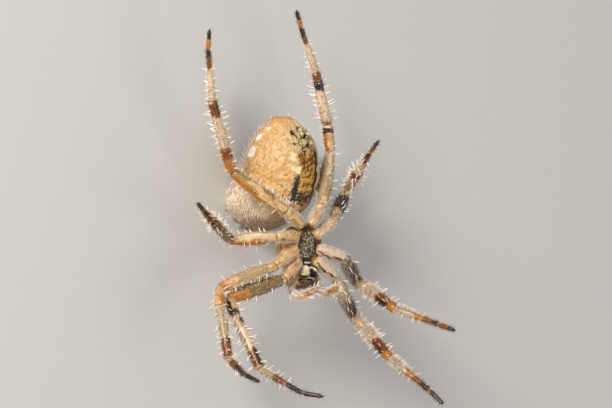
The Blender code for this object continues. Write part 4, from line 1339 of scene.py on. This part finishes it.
# %% Palps
PALPS = {
    "palp_left": ((-1.04, -4.0, -0.15), (-1.65, -5.2, -0.45), (-1.3, -5.72, 0.05),
                  (-0.95, -5.55, 0.95), (-0.3, -5.0, 1.75)),
    "palp_right": ((1.04, -4.0, -0.15), (1.7, -5.05, -0.35), (1.55, -5.5, 0.35),
                   (1.35, -5.35, 1.3), (1.25, -4.95, 2.4)),
}
PALP_RADIUS = ((0, 0.21), (0.1, 0.235), (0.3, 0.235), (0.34, 0.2), (0.38, 0.23), (0.5, 0.225),
               (0.54, 0.2), (0.6, 0.235), (0.72, 0.235), (0.75, 0.2), (0.8, 0.225), (0.92, 0.19),
               (1, 0.1))
PALP_HAIR = (  # count, length from and to, width, sides and rings: bristles, then finer hair
    (130, (0.38, 0.7), 0.055, 5, 4),
    (620, (0.15, 0.34), 0.028, 3, 2),
)
for name, joints in PALPS.items():
    def palp_masks(points, lie):
        """Pale in the middle, amber towards the tip, and a rusty ring at two joints."""
        share = lie[:, 0] / line.reach[-1]
        return {"pale": span(share, 0.06, 0.12, 0.64, 0.72), "amber": step_up(0.62, 0.74, share),
                "rust": bell(share, 0.76, 0.02) + bell(share, 0.36, 0.015)}

    line = rounded_line(np.array(joints), lambda along, reach: 0.98 * np.interp(
        along / reach[-1], *zip(*PALP_RADIUS)), corner=0.22, step=0.03)
    add_tube(f"{name}_skin", line, 30, leg_horn, [name], palp_masks)
    rng = np.random.default_rng(51)
    sets = []
    for count, length, width, sides, rings in PALP_HAIR:
        share = 1 - 0.92 * rng.random(count) ** 1.3
        roots = on_leg(line, share * line.reach[-1], rng.uniform(0, 2 * math.pi, count))
        lengths, lean = rng.uniform(*length, count), rng.uniform(0.4, 0.9, count)
        amber = step_up(0.6, 0.75, share) * rng.uniform(0.0, 0.5, count)
        sets.append(horns(*roots, lengths, np.full(count, width), lean, amber=amber,
                          sides=sides, rings=rings))
    add_horns(f"{name}_hair", sets, bristle_horn)

# %% [markdown]
# ## Claws
# Every leg ends in two curved claws with a small third one between them, which grip the silk.
# They are long horns with a strong curl, and together they make one piece.

# %% Claws
CLAWS = ((0.6, 0.2), (-0.6, 0.2), (0.0, 0.14))  # place across the tip, length
CLAW_WIDTH = 0.075
sets = []
for line in leg_lines.values():
    radius, forward, back, side = (values[-1] for values in (
        line.radius, line.forward, line.backs, line.sides))
    for across, length in CLAWS:
        root = line.path[-1] + forward * radius * 0.2 + side * across * radius
        way = unit(forward + 0.4 * back + 0.25 * across * side)
        sets.append(horns(root[None], way[None], -back[None], np.array([[0.5, 0.5]]),
                          np.array([length]), np.array([CLAW_WIDTH]), 0.1, 0.8, sides=7, rings=7))
add_horns("tarsal_claws", sets, claw_horn)

# %% [markdown]
# ## Floor and light
# A plain pale floor of matt paper and soft studio light: one large lamp at the camera's upper
# left, a weaker one opposite, and an even pale surrounding.

# %% Floor and light
FLOOR_HALF = 600.0
KEY_POWER, FILL_POWER, ROOM_LIGHT = 1.05, 0.3, 0.36  # watts, watts, strength
corners = np.array([[-1, -1, 0], [1, -1, 0], [1, 1, 0], [-1, 1, 0]]) * FLOOR_HALF * MM
floor_mesh = bpy.data.meshes.new("floor")
floor_mesh.from_pydata(corners.tolist(), [], [(0, 1, 2, 3)])
floor = add_object("floor", floor_mesh)
paper = bpy.data.materials.new("pale_matt_paper")
paper.use_nodes = True
shader = paper.node_tree.nodes["Principled BSDF"]
shader.inputs["Base Color"].default_value = srgb("C9C5BE")
shader.inputs["Roughness"].default_value = 0.9
floor_mesh.materials.append(paper)


def add_lamp(name, way, distance, size, power):
    """A square soft lamp that shines on the model from a direction, in millimetres and watts."""
    lamp = bpy.data.lights.new(name, "AREA")
    lamp.size = size * MM
    lamp.energy = power
    holder = add_object(name, lamp)
    way = unit(way)
    facing = Vector(way).to_track_quat("Z", "Y").to_matrix().to_4x4()
    holder.matrix_world = Matrix.Translation((ORIGIN + way * distance) * MM) @ facing


add_lamp("key_lamp", towards + 0.5 * upwards - 0.4 * right, 300.0, 100.0, KEY_POWER)
add_lamp("fill_lamp", towards * 0.4 - 0.4 * upwards + 0.8 * right, 320.0, 220.0, FILL_POWER)
world = bpy.data.worlds.new("pale_room")
bpy.context.scene.world = world
world.use_nodes = True
background = world.node_tree.nodes["Background"]
background.inputs["Color"].default_value = (0.95, 0.97, 1.0, 1.0)
background.inputs["Strength"].default_value = ROOM_LIGHT
bpy.context.scene.view_settings.view_transform = "Standard"
